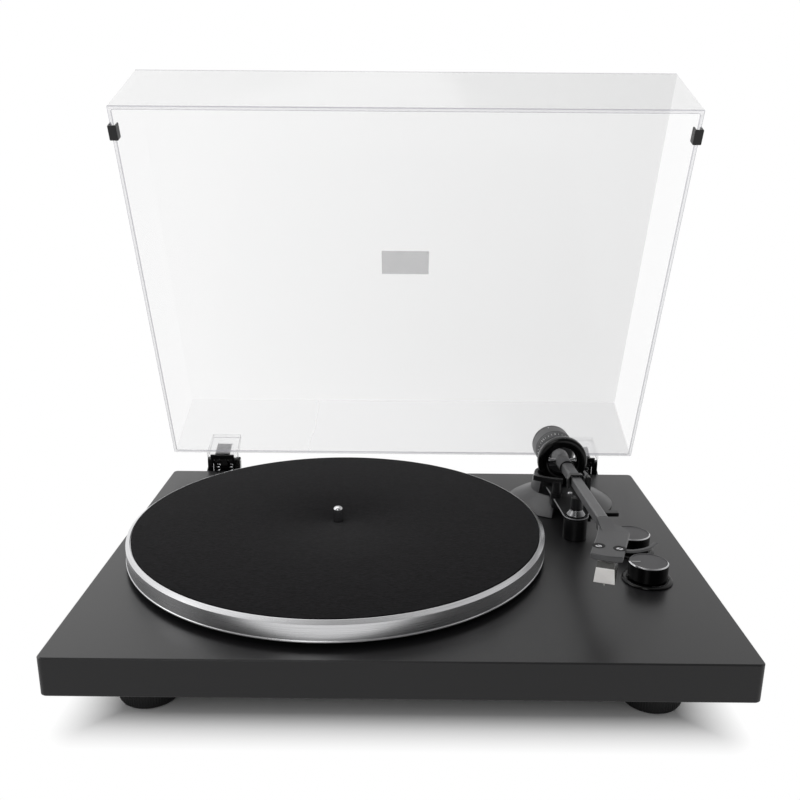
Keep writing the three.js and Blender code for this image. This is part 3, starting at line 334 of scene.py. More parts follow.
charcoal = (0.0095, 0.0092, 0.01)
charcoalFinish = grained("charcoalPaint", charcoal, 0.03, 0.31, 0.04, 0.35, 60, 0.06, Specular_IOR_Level=0.58)
sideCharcoal = grained("charcoalSides", charcoal, 0.03, 0.42, 0.04, 0.35, 60, 0.08, Specular_IOR_Level=0.32)
underFinish = grained("undersidePlastic", (0.012, 0.012, 0.0125), 0.1, 0.6, 0.08, 0.5, 25, 0.3)
footFinish = grained("footRubber", (0.006, 0.006, 0.0065), 0.2, 0.6, 0.08, 0.4, 12, 0.3, Specular_IOR_Level=0.3)
blackFinish = grained("satinBlackPlastic", (0.004, 0.004, 0.0045), 0.1, 0.34, 0.05, 0.2, 15, 0.1,
                      Specular_IOR_Level=0.4)
glossFinish = grained("pianoBlackPlastic", (0.001, 0.001, 0.0011), 0.05, 0.16, 0.03, 0.3, 20, 0.01,
                      Specular_IOR_Level=0.26)
knobTopFinish = grained("knobFace", (0.034, 0.033, 0.036), 0.08, 0.38, 0.05, 0.15, 10, 0.08)
armFinish = grained("armGrey", (0.1, 0.1, 0.103), 0.06, 0.4, 0.05, 0.15, 12, 0.06, 0.3)
headFinish = grained("headshellGrey", (0.068, 0.068, 0.07), 0.06, 0.4, 0.05, 0.15, 12, 0.06, 0.3)
weightFinish = grained("weightGrey", (0.048, 0.048, 0.05), 0.08, 0.4, 0.05, 0.18, 8, 0.1, 0.1)
skirtFinish = grained("skirtGrey", (0.036, 0.036, 0.038), 0.06, 0.34, 0.05, 0.2, 20, 0.05)
chromeFinish = grained("polishedChrome", (0.62, 0.62, 0.63), 0.03, 0.12, 0.03, 0.4, 8, 0.02, 1.0)
smokedFinish = grained("smokedChrome", (0.2, 0.2, 0.205), 0.05, 0.18, 0.04, 0.3, 8, 0.02, 1.0)
steelFinish = grained("springSteel", (0.56, 0.56, 0.57), 0.08, 0.28, 0.06, 0.2, 6, 0.05, 1.0)
brassFinish = grained("turnedBrass", (0.6, 0.44, 0.18), 0.08, 0.28, 0.06, 0.2, 6, 0.05, 1.0)
boardFinish = grained("boardGreen", (0.02, 0.09, 0.035), 0.15, 0.4, 0.06, 0.3, 8, 0.1)
beltFinish = grained("beltRubber", (0.01, 0.01, 0.01), 0.15, 0.7, 0.06, 0.3, 10, 0.2)
cartridgeFinish = grained("cartridgeSilver", (0.84, 0.82, 0.8), 0.04, 0.32, 0.05, 0.2, 6, 0.05)
facetFinish = grained("cartridgeFacet", (0.11, 0.11, 0.105), 0.1, 0.25, 0.05, 0.2, 4, 0.04, 0.4)
stylusFinish = grained("stylusGrip", (0.5, 0.5, 0.48), 0.1, 0.25, 0.05, 0.2, 4, 0.05)
markFinish = grained("markWhite", (0.62, 0.62, 0.62), 0.05, 0.5, 0.04, 0.2, 3, 0.05)
pointerFinish = grained("pointerGrey", (0.32, 0.32, 0.32), 0.05, 0.4, 0.04, 0.2, 3, 0.05)
# a lighter grey for a painted highlight on the arm pillar's top bevel
paintedHighlightFinish = grained("paintedEdgeHighlight", (0.16, 0.16, 0.165), 0.06, 0.3, 0.04, 0.2, 8, 0.04, 0.5)


def feltMaterial():
    values = {"dark": (0.004, 0.0038, 0.0042), "light": (0.017, 0.0165, 0.018), "thread": 2.6, "across": 0.42}
    material, tree, shader = blankMaterial("matFelt")
    weave = objectCoords(tree, scale=(1.0 / values["thread"], 1.0 / values["across"], 1))
    strands = noise(tree, weave, 900.0, 5.0, 0.6)
    fuzz = noise(tree, objectCoords(tree), 1400.0, 3.0, 0.7)
    mix = mathNode(tree, "MULTIPLY_ADD", fuzz, 0.45, spread(tree, strands, 0.0, 0.55, 0.35, 0.7))
    tree.links.new(ramp(tree, mix, values["dark"], values["light"], 0.2, 0.85), shader.inputs["Base Color"])
    shader.inputs["Roughness"].default_value = 0.95
    shader.inputs["Specular IOR Level"].default_value = 0.06
    shader.inputs["Sheen Weight"].default_value = 0.03
    shader.inputs["Sheen Roughness"].default_value = 0.6
    addBump(tree, shader, mix, 0.6, 0.25)
    return material


def brushedMaterial(name, color, centre, roughness, streaks=0.16):
    # turning marks run round the axis, so the noise is stretched along the circle
    material, tree, shader = blankMaterial(name)
    place = splitAxes(tree, objectCoords(tree, move=(-centre.x, -centre.y, -centre.z)))
    flat = tree.nodes.new("ShaderNodeCombineXYZ")
    tree.links.new(place["X"], flat.inputs["X"])
    tree.links.new(place["Y"], flat.inputs["Y"])
    reach = vectorNode(tree, "LENGTH", flat.outputs["Vector"], "Value")
    direction = splitAxes(tree, vectorNode(tree, "NORMALIZE", flat.outputs["Vector"]))
    around = tree.nodes.new("ShaderNodeCombineXYZ")
    for axis, socket, factor in (("X", direction["X"], 2.5), ("Y", direction["Y"], 2.5),
                                 ("Z", mathNode(tree, "ADD", reach, place["Z"]), 4200.0)):
        tree.links.new(mathNode(tree, "MULTIPLY", socket, factor), around.inputs[axis])
    lines = noise(tree, around.outputs["Vector"], 1.0, 4.0, 0.65)
    low = tuple(c * (1 - streaks) for c in color)
    high = tuple(min(1, c * (1 + streaks)) for c in color)
    tree.links.new(ramp(tree, lines, low, high, 0.25, 0.75), shader.inputs["Base Color"])
    tree.links.new(spread(tree, lines, roughness + 0.07, roughness - 0.07, 0.25, 0.75), shader.inputs["Roughness"])
    shader.inputs["Metallic"].default_value = 1.0
    addBump(tree, shader, lines, 0.12, 0.05)
    return material


def acrylicMaterial(name, tint, thin, thick, left=1.0, right=1.0, roughness=0.12):
    # thin see-through sheet: what is behind shows straight through, and more of its own colour at a slant
    material, tree, shader = blankMaterial(name)
    place = objectCoords(tree)
    clouds = noise(tree, place, 9.0, 2.0, 0.5)
    low = tuple(c * 0.97 for c in tint)
    tree.links.new(ramp(tree, clouds, low, tint), shader.inputs["Base Color"])
    slant = tree.nodes.new("ShaderNodeLayerWeight")
    slant.inputs["Blend"].default_value = 0.35
    # painted shade: the sheet is made denser, and so darker, towards the right-hand side, which is lit less
    side = spread(tree, splitAxes(tree, place)["X"], left, right, -0.2, 0.2)
    density = spread(tree, slant.outputs["Facing"], thin, thick, 0.35, 1.0)
    tree.links.new(mathNode(tree, "MULTIPLY", density, side), shader.inputs["Alpha"])
    shader.inputs["Roughness"].default_value = roughness
    shader.inputs["IOR"].default_value = 1.49
    return material


platterCentre = deckPoint(*platterAxis, 17)
feltFinish = feltMaterial()
platterFinish = brushedMaterial("turnedAluminium", (0.62, 0.62, 0.63), platterCentre, 0.3)
# the two numbers after the densities paint shade across each sheet, lighter on the left and darker on the right
clearFinish = acrylicMaterial("clearAcrylic", (0.78, 0.78, 0.79), 0.2, 0.42, 0.6, 1.55)
shelfFinish = acrylicMaterial("clearFrontWall", (0.78, 0.78, 0.78), 0.2, 0.42, 0.65, 1.05)
rearFinish = acrylicMaterial("clearRearWall", (0.7, 0.7, 0.71), 0.36, 0.72, 0.8, 1.35)
sideFinish = acrylicMaterial("clearSideWall", (0.8, 0.8, 0.82), 0.07, 0.2)
innerFinish = acrylicMaterial("clearInside", (0.9, 0.9, 0.9), 0.01, 0.02)
rimFinish = acrylicMaterial("clearRim", (0.95, 0.94, 1.0), 0.3, 0.5)
cornerFinish = acrylicMaterial("clearCorner", (0.36, 0.35, 0.43), 0.5, 0.7)
socketFinish = acrylicMaterial("milkySocket", (0.86, 0.86, 0.88), 0.12, 0.3)
socketEdgeFinish = acrylicMaterial("socketEdge", (0.12, 0.12, 0.13), 0.55, 0.8)
labelFinish = acrylicMaterial("blankLabel", (0.6, 0.6, 0.61), 0.34, 0.4, 1.0, 1.0, 0.45)
print("materials made")


# plinth and its four feet

plinthLook = {"edge": 0.6, "steps": 3}
plinthPiece = copiedNode("plinth", "plinthShell")
softEdges(plinthPiece, plinthLook["edge"], plinthLook["steps"], 25)
dress(plinthPiece, "plinth", charcoalFinish)
plinthPiece.data.materials.append(sideCharcoal)
for polygon in plinthPiece.data.polygons:
    polygon.material_index = int(polygon.normal.z < 0.5)

# the toe is given as steps in from the radius and up from the floor
footLook = {"radius": 19, "height": 20.3, "ribs": 72, "ribDepth": 0.35, "ribFrom": 2.5, "ribMargin": 0.5,
            "toe": ((4.5, 0), (3.2, 0.25), (1.4, 1.3), (0.3, 3.0), (0, 4.6))}


def footPiece(node, name):
    low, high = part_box(node)
    centre = (low + high) / 2
    r, h = footLook["radius"], footLook["height"]
    rings = [(r - inward, up) for inward, up in footLook["toe"]]
    rings += [(r, h - 0.9), (r - 0.3, h - 0.3), (r - 0.9, h), (r * 0.5, h)]
    sides = footLook["ribs"] * 2
    piece = turnedPiece(name, rings, sides, Matrix.Translation((centre.x, centre.y, low.z)))
    # every other column of the side wall is drawn in to make the ribs
    for vertex in piece.data.vertices:
        across = Vector((vertex.co.x - centre.x, vertex.co.y - centre.y, 0))
        up = (vertex.co.z - low.z) * 1000
        column = round(math.atan2(across.y, across.x) / (2 * math.pi) * sides) % 2
        if column and footLook["ribFrom"] < up < h - footLook["ribMargin"]:
            vertex.co -= across.normalized() * footLook["ribDepth"] * mm
    smoothed(piece, 30)
    return dress(piece, node, footFinish)


for place in ("front_left", "front_right", "rear_left", "rear_right"):
    footPiece(f"foot_{place}", f"footRibbed.{place}")
print("plinth and feet done")


# platter, mat and spindle

platterLook = {"radius": 152.5, "lift": 4, "top": 17.6, "lip": 0.4, "lipHeight": 0.8, "bevel": 2.8, "drop": 2.0,
               "web": 4.7, "wall": 6, "recess": 1.4, "rim": 0.3, "hole": 3.8, "sides": 256}
matLook = {"edge": 148.4, "bottom": 16.5, "top": 18.0, "hole": 3.8}
spindleLook = {"radius": 3.5, "tip": 29.5, "dome": 2.3, "bottom": -19.5, "chamfer": 1.2,
               "domeDegrees": (0, 15, 30, 45, 60, 72, 82)}


def platterPiece():
    p = platterLook
    side = p["radius"] - p["lip"]
    crown = side - p["bevel"]
    floor = p["top"] - p["recess"]
    hollow = p["radius"] - p["wall"]
    lipTop = p["lift"] + p["lipHeight"]
    rings = [(p["hole"], floor - p["web"]), (hollow, floor - p["web"]), (hollow, p["lift"]), (p["radius"], p["lift"]),
             (p["radius"], lipTop), (side, lipTop + p["lip"]), (side, p["top"] - p["drop"]), (crown, p["top"]),
             (crown - p["rim"], p["top"]), (crown - p["rim"], floor), (p["hole"], floor)]
    piece = turnedPiece("platterDish", rings, p["sides"], deckMove(*platterAxis, 0), True)
    softEdges(piece, 0.18, 2, 20)
    return dress(piece, "platter", platterFinish)


def matPiece():
    m = matLook
    edge, hole, top = m["edge"], m["hole"], m["top"]
    rings = [(hole, m["bottom"]), (edge, m["bottom"]), (edge, top - 0.5), (edge - 0.15, top - 0.15),
             (edge - 0.6, top), (edge * 0.5, top), (hole + 0.4, top), (hole, top - 0.3)]
    piece = turnedPiece("matFeltDisc", rings, 192, deckMove(*platterAxis, 0), True)
    smoothed(piece, 40)
    return dress(piece, "platter_mat", feltFinish)


def spindlePiece():
    s = spindleLook
    dome = [(s["radius"] * math.cos(a), s["tip"] - s["dome"] + s["dome"] * math.sin(a))
            for a in map(math.radians, s["domeDegrees"])]
    rings = [(s["radius"] - s["chamfer"], s["bottom"]), (s["radius"], s["bottom"] + s["chamfer"])] + dome
    piece = turnedPiece("spindlePin", rings, 48, deckMove(*platterAxis, 0))
    smoothed(piece, 40)
    return dress(piece, "spindle", chromeFinish)


platterPiece()
matPiece()
spindlePiece()
print("platter done")


# the two knobs and their base rings

knobLook = {"radius": 13.5, "height": 14, "bottom": 2.3, "chamfer": 0.8, "rim": 0.6, "dish": 0.4,
            "bore": 3.3, "boreTop": 10.5, "foot": 0.3, "markLength": 6, "markWidth": 1.1, "markHeight": 0.12,
            "markFromEdge": 0.4, "places": {"speed": -54, "power": -5}, "x": 169}
# the bezel's profile is given as steps in from its radius and down from its top
bezelLook = {"radius": 17.25, "height": 1.7, "hole": 3.3, "gap": 0.3,
             "crown": ((0.15, 0.9), (0.55, 0.4), (1.2, 0.08), (1.9, 0), (2.6, 0.1), (3.2, 0.4), (3.6, 0.7))}


def knobFace():
    # the height of the dished face, and the radius where it ends
    k = knobLook
    return k["height"] - k["dish"], k["radius"] - k["chamfer"] - k["rim"]


def knobBody(which, move):
    k = knobLook
    radius = k["radius"]
    face, edge = knobFace()
    rings = [(k["bore"], k["boreTop"]), (k["bore"], k["bottom"]), (radius - k["foot"], k["bottom"]),
             (radius, k["bottom"] + k["foot"]), (radius, k["height"] - k["chamfer"]),
             (radius - k["chamfer"], k["height"]), (edge, k["height"]), (edge - 0.35, face), (edge * 0.5, face)]
    body = turnedPiece(f"knobBody.{which}", rings, 128, move)
    softEdges(body, 0.12, 2, 25)
    dress(body, f"{which}_knob", glossFinish)
    # the chamfer is bright, the rim and the face are dark grey
    body.data.materials.append(chromeFinish)
    body.data.materials.append(knobTopFinish)
    top = deckPoint(0, 0, k["height"] - k["chamfer"]).z
    centre = move.translation
    for polygon in body.data.polygons:
        reach = math.hypot(polygon.center.x - centre.x, polygon.center.y - centre.y) * 1000
        if polygon.center.z > top + 0.00005 and reach > radius - k["chamfer"] - 0.05:
            polygon.material_index = 1
        elif polygon.center.z > top:
            polygon.material_index = 2
    return body


def pointerPiece(which, move):
    k = knobLook
    face, edge = knobFace()
    start, half = k["markFromEdge"] - edge, k["markWidth"] / 2
    pointer = boxPiece(f"knobPointer.{which}", (start, -half, face),
                       (start + k["markLength"], half, face + k["markHeight"]), move)
    return addOn(pointer, nodes[f"{which}_knob"]["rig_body"], pointerFinish)


def bezelPiece(which, move):
    b = bezelLook
    low = b["gap"]
    top = low + b["height"]
    crown = [(b["radius"] - inward, top - down) for inward, down in b["crown"]]
    rings = [(b["hole"], low), (b["radius"] - 0.1, low), (b["radius"], low + 0.3), *crown, (b["hole"], crown[-1][1])]
    ring = turnedPiece(f"knobBezel.{which}", rings, 128, move, True)
    softEdges(ring, 0.15, 2, 30)
    return dress(ring, f"{which}_bezel", glossFinish)


for which, y in knobLook["places"].items():
    knobPlace = deckMove(knobLook["x"], y, 0)
    knobBody(which, knobPlace)
    bezelPiece(which, knobPlace)
    pointerPiece(which, knobPlace)
print("knobs done")


# dust cover and its hinges

# the rear and the rim are measured from the hinge axis with the cover shut
coverLook = {"width": 418.6, "depth": 315.0, "height": 84.0, "wall": 3.0, "rear": -12.3, "rim": -4.7, "edge": 0.7,
             "overrun": 5, "hingeY": 172.3, "hingeZ": 7.2, "open": 68.5, "wider": 1.3, "roundness": 0.97}


def coverFrame():
    # the cover's own axes: shut, about its hinge
    turn = Matrix.Rotation(-math.radians(coverLook["open"]), 4, "X")
    return deckMove(0, coverLook["hingeY"], coverLook["hingeZ"]) @ turn


def coverShell():
    # five glued sheets with square corners, drawn shut
    c = coverLook
    half, front, top, wall = c["width"] / 2, c["rear"] - c["depth"], c["rim"] + c["height"], c["wall"]
    shell = boxPiece("coverShell", (-half, front, c["rim"]), (half, c["rear"], top))
    cutPiece(shell, boxPiece("coverHollow", (wall - half, front + wall, c["rim"] - c["overrun"]),
                             (half - wall, c["rear"] - wall, top - wall)))
    softEdges(shell, c["edge"], 1, 30)
    dress(shell, "dust_cover", clearFinish)
    for material in (rimFinish, cornerFinish, innerFinish, shelfFinish, sideFinish, rearFinish):
        shell.data.materials.append(material)
    roof, rim, corner, inner, shelf, side, rear = range(7)
    near, bevel = 0.1, 0.9
    for polygon in shell.data.polygons:
        x, y, z = polygon.center * 1000
        flat = max(abs(share) for share in polygon.normal) > 0.99
        outside = abs(x) > half - bevel or y > c["rear"] - bevel or y < front + bevel or z > top - bevel
        slot = roof if outside else inner
        if not flat:
            slot = corner if z < c["rim"] + bevel or y < front + bevel else slot
        elif z < c["rim"] + near:
            slot = rim
        elif y < front + near:
            slot = shelf
        elif abs(x) > half - near:
            slot = side
        elif y > c["rear"] - near:
            slot = rear
        polygon.material_index = slot
    shell.visible_shadow = False
    return settle(shell, coverFrame())


# each side's pieces: name, bevel and finish
coverSides = {"cover_socket": ("coverSocket", 0.4, socketFinish), "cover_bumper": ("coverBumper", 0.9, blackFinish),
              "hinge_tongue": ("hingeTongue", 0.2, blackFinish), "hinge_bracket": ("hingeBracket", 0.3, glossFinish),
              "hinge_pin": ("hingePin", 0.2, steelFinish)}
hingeBackLook = {"x": 165.5, "low": (-11.2, 3.8, -16), "high": (11.2, 4.6, 0.8)}


def coverPieces(side, sign):
    for part, (name, width, material) in coverSides.items():
        node = f"{part}_{side}"
        piece = copiedNode(node, f"{name}.{side}")
        softEdges(piece, width, 2, 35)
        dress(piece, node, material)
        if part == "cover_socket":
            # the bevels show as dark lines
            piece.data.materials.append(socketEdgeFinish)
            turn = coverFrame().to_3x3().inverted()
            for polygon in piece.data.polygons:
                if max(abs(share) for share in turn @ polygon.normal) < coverLook["roundness"]:
                    polygon.material_index = 1
        if part == "cover_bumper":
            settle(piece, Matrix.Translation((sign * coverLook["wider"] * mm, 0, 0)))
    b = hingeBackLook
    back = boxPiece(f"hingeBack.{side}", b["low"], b["high"],
                    deckMove(sign * b["x"], coverLook["hingeY"], coverLook["hingeZ"]))
    softEdges(back, 0.2, 1, 30)
    return addOn(back, nodes[f"hinge_bracket_{side}"]["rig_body"], blackFinish)


coverShell()
coverPieces("left", -1)
coverPieces("right", 1)
print("cover and hinges done")


# tonearm and its base

# rings are (radius, distance ahead of the pivot)
hubLook = {"rings": [(4.0, -53), (4.0, -16.3), (4.3, -16.0), (5.6, -15.4), (6.5, -14), (6.8, -12), (6.8, -8),
                     (6.0, -4), (5.2, -2.0), (5.2, 2.0), (5.9, 6), (6.0, 9), (5.8, 16), (5.7, 23.4), (5.5, 24.3),
                     (4.9, 25)],
           "seal": [(5.0, 24.4), (5.95, 24.4), (6.1, 24.7), (5.95, 25.3), (5.0, 25.3)]}
weightLook = {"rings": [(4.3, -47), (14.6, -47), (15.0, -47.4), (15.0, -58), (16.0, -58), (16.6, -57.7),
                        (16.8, -57.1), (16.8, -54.2), (16.4, -54.0), (16.4, -53.4), (16.8, -53.2), (16.8, -35.8),
                        (16.5, -35.2), (15.2, -35.0), (15.2, -31.4), (4.3, -31.4)],
              "mark": {"radius": 16.8, "at": -50.6, "angle": -0.25, "length": 3.2, "width": 0.5}}
# the dial's scale is on a cone that faces forward, and its band reaches back over the front of the weight
dialLook = {"rings": [(4.3, -30.9), (15.5, -30.9), (15.5, -34.6), (16.3, -34.6), (16.5, -34.4), (16.5, -31.6),
                      (14.3, -27.4), (13.6, -26.7), (12.6, -26.4), (4.3, -26.4)],
            "radius": 15.4, "at": -29.5, "lean": 0.483, "digit": 2.9, "tick": 1.7, "tickHalf": 0.16, "first": -0.1,
            "values": ("0", ".5", "1", "1.5", "2", "2.5", "3", "3.5"), "ticksBetween": 3}
markDepth = {"below": 0.05, "above": 0.06}


def armTurned(name, node, rings, material, loop, sides=96, edge=0.12):
    piece = turnedPiece(name, rings, sides, armMatrix(), loop)
    softEdges(piece, edge, 2, 28)
    return dress(piece, node, material)


armTurned("armHubBody", "arm_hub", hubLook["rings"], armFinish, False)
armTurned("balanceWeight", "counterweight", weightLook["rings"], weightFinish, True, 128)
armTurned("forceDial", "force_dial", dialLook["rings"], weightFinish, True)


def roundTheArm(angle, radius, ahead, lean=0.0):
    # a place on a cylinder or cone round the arm: +X runs round it, +Y back along it, +Z outward
    outward = Vector((math.sin(angle), math.cos(angle), 0))
    across = Vector((math.cos(angle), -math.sin(angle), 0))
    forward = Vector((0, 0, 1))
    back = outward * math.sin(lean) - forward * math.cos(lean)
    facing = outward * math.cos(lean) + forward * math.sin(lean)
    frameTurn = Matrix((across, back, facing)).transposed().to_4x4()
    return armMatrix() @ Matrix.Translation((outward * radius + Vector((0, 0, ahead))) * mm) @ frameTurn


def digitPiece(text, size, matrix):
    pick(None)
    bpy.ops.object.text_add(location=(0, 0, 0))
    curve = bpy.context.object
    curve.data.body = text
    curve.data.size = size * mm
    curve.data.align_x = "CENTER"
    curve.data.align_y = "CENTER"
    curve.data.extrude = 0.00005
    curve.data.resolution_u = 3
    bpy.ops.object.convert(target="MESH")
    return settle(bpy.context.object, matrix)


def tickPiece(name, halfWidth, halfLength, matrix):
    return boxPiece(name, (-halfWidth, -halfLength, -markDepth["below"]),
                    (halfWidth, halfLength, markDepth["above"]), matrix)


def dialMarks():
    d = dialLook
    step = 2 * math.pi / len(d["values"])
    marks = []
    for number, text in enumerate(d["values"]):
        angle = number * step + d["first"]
        marks.append(digitPiece(text, d["digit"], roundTheArm(angle, d["radius"], d["at"], d["lean"])))
        for part in range(1, d["ticksBetween"] + 1):
            place = roundTheArm(angle + step * part / (d["ticksBetween"] + 1), d["radius"], d["at"], d["lean"])
            marks.append(tickPiece("tick", d["tickHalf"], d["tick"] / 2, place))
    return addOn(joinedPieces(marks, "dialMarks"), nodes["force_dial"]["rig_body"], markFinish)


def weightMark():
    w = weightLook["mark"]
    mark = tickPiece("weightMark", w["width"] / 2, w["length"] / 2, roundTheArm(w["angle"], w["radius"], w["at"]))
    return addOn(mark, nodes["counterweight"]["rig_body"], markFinish)


dialMarks()
weightMark()


gimbalLook = {"middle": 16.05, "reach": 4.45, "half": 4.5, "steps": 24, "fullness": 0.5,
              "shaft": [(3.4, -33), (4, -32.4), (4, -19.6)]}


def ringPiece():
    # the gimbal ring is a round-faced hoop, and its shaft goes down into the pillar
    r = gimbalLook
    rings = []
    for number in range(r["steps"]):
        angle = 2 * math.pi * number / r["steps"]
        out, along = math.cos(angle), math.sin(angle)
        rings.append((r["middle"] + r["reach"] * math.copysign(abs(out) ** r["fullness"], out),
                      r["half"] * math.copysign(abs(along) ** r["fullness"], along)))
    middle = deckMove(pivot["x"], pivot["y"], pivot["z"])
    piece = turnedPiece("gimbalHoop", rings, 128, middle @ axisTurn, True)
    smoothed(piece, 60)
    shaft = turnedPiece("gimbalShaft", r["shaft"], 48, middle)
    smoothed(shaft, 40)
    return dress(joinedPieces([piece, shaft], "gimbalHoop"), "gimbal_ring", glossFinish)


ringPiece()
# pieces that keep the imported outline: name, bevel and finish
for node, name, width, material in (
        ("arm_tube", "armTubeBar", 0.5, armFinish),
        ("arm_collar", "armCollarClip", 0.4, blackFinish),
        ("headshell", "headshellPlate", 0.25, headFinish),
        ("stylus", "stylusHolder", 0.1, stylusFinish),
        ("arm_skirt", "skirtShell", 0.25, skirtFinish),
        ("turret", "turretBody", 0.3, blackFinish),
        ("arm_rest", "armRestPost", 0.3, blackFinish),
        ("lift_bar", "liftArc", 0.5, blackFinish),
        ("cue_lever", "cueLeverBar", 0.3, blackFinish),
        ("turret_nut", "turretCone", 0.2, smokedFinish),
        ("pivot_pin_left", "pivotPin.left", 0.25, chromeFinish),
        ("pivot_pin_right", "pivotPin.right", 0.25, chromeFinish)):
    piece = copiedNode(node, name)
    softEdges(piece, width, 2, 28)
    dress(piece, node, material)
print("arm done")


# small pieces of the arm and its base


headLook = {"tubeEnd": 158.3, "offset": 19, "middle": 9.0}


def headMatrix():
    # the headshell's own axes: +Z up, and -Y forward along the cartridge
    reach = headLook["tubeEnd"] * math.cos(pivot["slope"])
    turn = Matrix.Rotation(-math.radians(headLook["offset"]), 4, "Z")
    return deckMove(pivot["x"], pivot["y"] - reach, pivot["z"]) @ turn


def headMove(across, ahead, up):
    return headMatrix() @ Matrix.Translation(Vector((headLook["middle"] + across, -ahead, up)) * mm)


# the side outline is (distance behind the tube's end, height)
cartridgeLook = {"side": [(-31.5, 7.2), (-55.4, 7.2), (-58.4, 4.2), (-58.4, -5.6), (-57.6, -6.2), (-31.5, -6.2)],
                 "front": -58.4, "length": 26.9, "low": -6.2, "high": 7.2, "wide": 6.6, "narrow": 5.3,
                 "rearTaper": 0.16, "shelfLow": (-8.5, -46.8, 4.4), "shelfHigh": (8.5, -37.8, 7.3)}


def cartridgePiece():
    c = cartridgeLook
    # the side outline is drawn in local (Y, Z), pushed across X, and drawn in towards the top
    stand = Matrix(((0, 0, 1, 0), (1, 0, 0, 0), (0, 1, 0, 0), (0, 0, 0, 1)))
    aside = Matrix.Translation((-c["wide"] * mm, 0, 0))
    shell = outlinePiece("cartridgeShell", c["side"], 2 * c["wide"], aside @ stand)
    for vertex in shell.data.vertices:
        share = (vertex.co.z * 1000 - c["low"]) / (c["high"] - c["low"])
        back = (vertex.co.y * 1000 - c["front"]) / c["length"]
        vertex.co.x *= (1 + share * (c["narrow"] / c["wide"] - 1)) * (1 - c["rearTaper"] * back)
    shelf = boxPiece("cartridgeShelf", c["shelfLow"], c["shelfHigh"])
    softEdges(shell, 0.35, 2, 28)
    softEdges(shelf, 0.3, 2, 28)
    body = joinedPieces([shell, shelf], "cartridgeShell")
    dress(body, "cartridge", cartridgeFinish)
    # the sloping front above the face and the two sides are darker
    body.data.materials.append(facetFinish)
    for polygon in body.data.polygons:
        slope = polygon.normal.y < -0.5 and polygon.normal.z > 0.5 and polygon.center.y < -0.055
        if slope or abs(polygon.normal.x) > 0.6 and polygon.center.y < -0.0475:
            polygon.material_index = 1
    return settle(body, headMove(0, 0, 0))


screwLook = {"edge": 0.3, "slotHalf": 0.32, "slotDepth": 0.55}


def screwPiece(name, radius, height, turn, matrix, body):
    # a cheese head with a sawn slot
    look = screwLook
    rings = [(radius, 0), (radius, height - look["edge"]), (radius - look["edge"], height), (radius * 0.5, height)]
    head = turnedPiece(name, rings, 40)
    cutPiece(head, boxPiece("slotCutter", (-look["slotHalf"], -2 * radius, height - look["slotDepth"]),
                            (look["slotHalf"], 2 * radius, height + 1)))
    settle(head, matrix @ Matrix.Rotation(turn, 4, "Z"))
    smoothed(head, 30)
    return addOn(head, body, chromeFinish)


headScrewLook = {"ahead": 42.3, "bottom": 10.3, "radius": 2.35, "height": 1.0,
                 "places": {"left": (-6.35, 0.9), "right": (6.35, -0.5)},
                 "shadeRing": [(2.45, 11.2), (3.95, 11.2), (4.0, 11.58), (3.9, 11.62), (2.5, 11.62), (2.45, 11.55)]}


def headScrews():
    look = headScrewLook
    body, slot = nodes["headshell"]["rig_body"], slotOf["headshell"]
    for name, (across, turn) in look["places"].items():
        # painted shade: a flat black ring round each screw stands for the shade in its counterbore
        shadeRing = turnedPiece(f"headshellShadeRing.{name}", look["shadeRing"], 48, headMove(across, look["ahead"], 0), True)
        smoothed(shadeRing, 40)
        addOn(shadeRing, body, footFinish)
        screwPiece(f"headshellScrew.{name}", look["radius"], look["height"], turn,
                   headMove(across, look["ahead"], look["bottom"]), body)


# the blade's outline is (X beside the arm, height)
clipLook = {"outline": [(7.9, 19.1), (11.3, 19.1), (11.3, 42.3), (10.7, 43.7), (9.7, 44.3), (8.7, 44.3), (7.9, 43.5),
                        (7.9, 38.0), (8.6, 36.6), (8.6, 30.0), (7.9, 28.6)], "ahead": 61.5, "width": 6.5}


def clipPiece():
    # a tall blade with a soft top stands beside the collar; drawn in (X, Z) and pushed back along Y
    c = clipLook
    stand = Matrix(((1, 0, 0, 0), (0, 0, 1, 0), (0, 1, 0, 0), (0, 0, 0, 1)))
    move = deckMove(pivot["x"], pivot["y"] - c["ahead"] - c["width"] / 2, 0)
    blade = outlinePiece("clipPostBlade", c["outline"], c["width"], move @ stand)
    softEdges(blade, 0.4, 2, 28)
    return dress(blade, "clip_post", blackFinish)


pillarLook = {"top": 18.8, "bevel": 0.55, "reach": 1.1, "flattest": 0.97, "steepest": 0.15}


def pillarPiece():
    plate = copiedNode("arm_pillar", "pillarPlate")
    softEdges(plate, pillarLook["bevel"], 2, 28)
    dress(plate, "arm_pillar", blackFinish)
    # the bevel round the deck's top edge is painted lighter grey: a painted highlight where light catches it
    plate.data.materials.append(paintedHighlightFinish)
    top = deckPoint(0, 0, pillarLook["top"]).z
    for polygon in plate.data.polygons:
        near = top - pillarLook["reach"] * mm < polygon.center.z < top + 0.1 * mm
        if near and pillarLook["steepest"] < polygon.normal.z < pillarLook["flattest"]:
            polygon.material_index = 1
    return plate


# place beside the pivot, radius, height and turn
deckScrews = {"front": ((1.8, -33.5, 18.7), 1.9, 1.2, 0.4), "left": ((-11.2, -33.0, 18.7), 1.4, 1.0, 1.3)}


def baseDetails():
    for name, ((x, y, z), radius, height, turn) in deckScrews.items():
        screwPiece(f"deckScrew.{name}", radius, height, turn, deckMove(pivot["x"] + x, pivot["y"] + y, z),
                   nodes["arm_pillar"]["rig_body"])
    seal = turnedPiece("hubSeal", hubLook["seal"], 48, armMatrix(), True)
    smoothed(seal, 50)
    return addOn(seal, nodes["arm_hub"]["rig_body"], blackFinish)


cartridgePiece()
headScrews()
clipPiece()
pillarPiece()
baseDetails()
print("small pieces done")


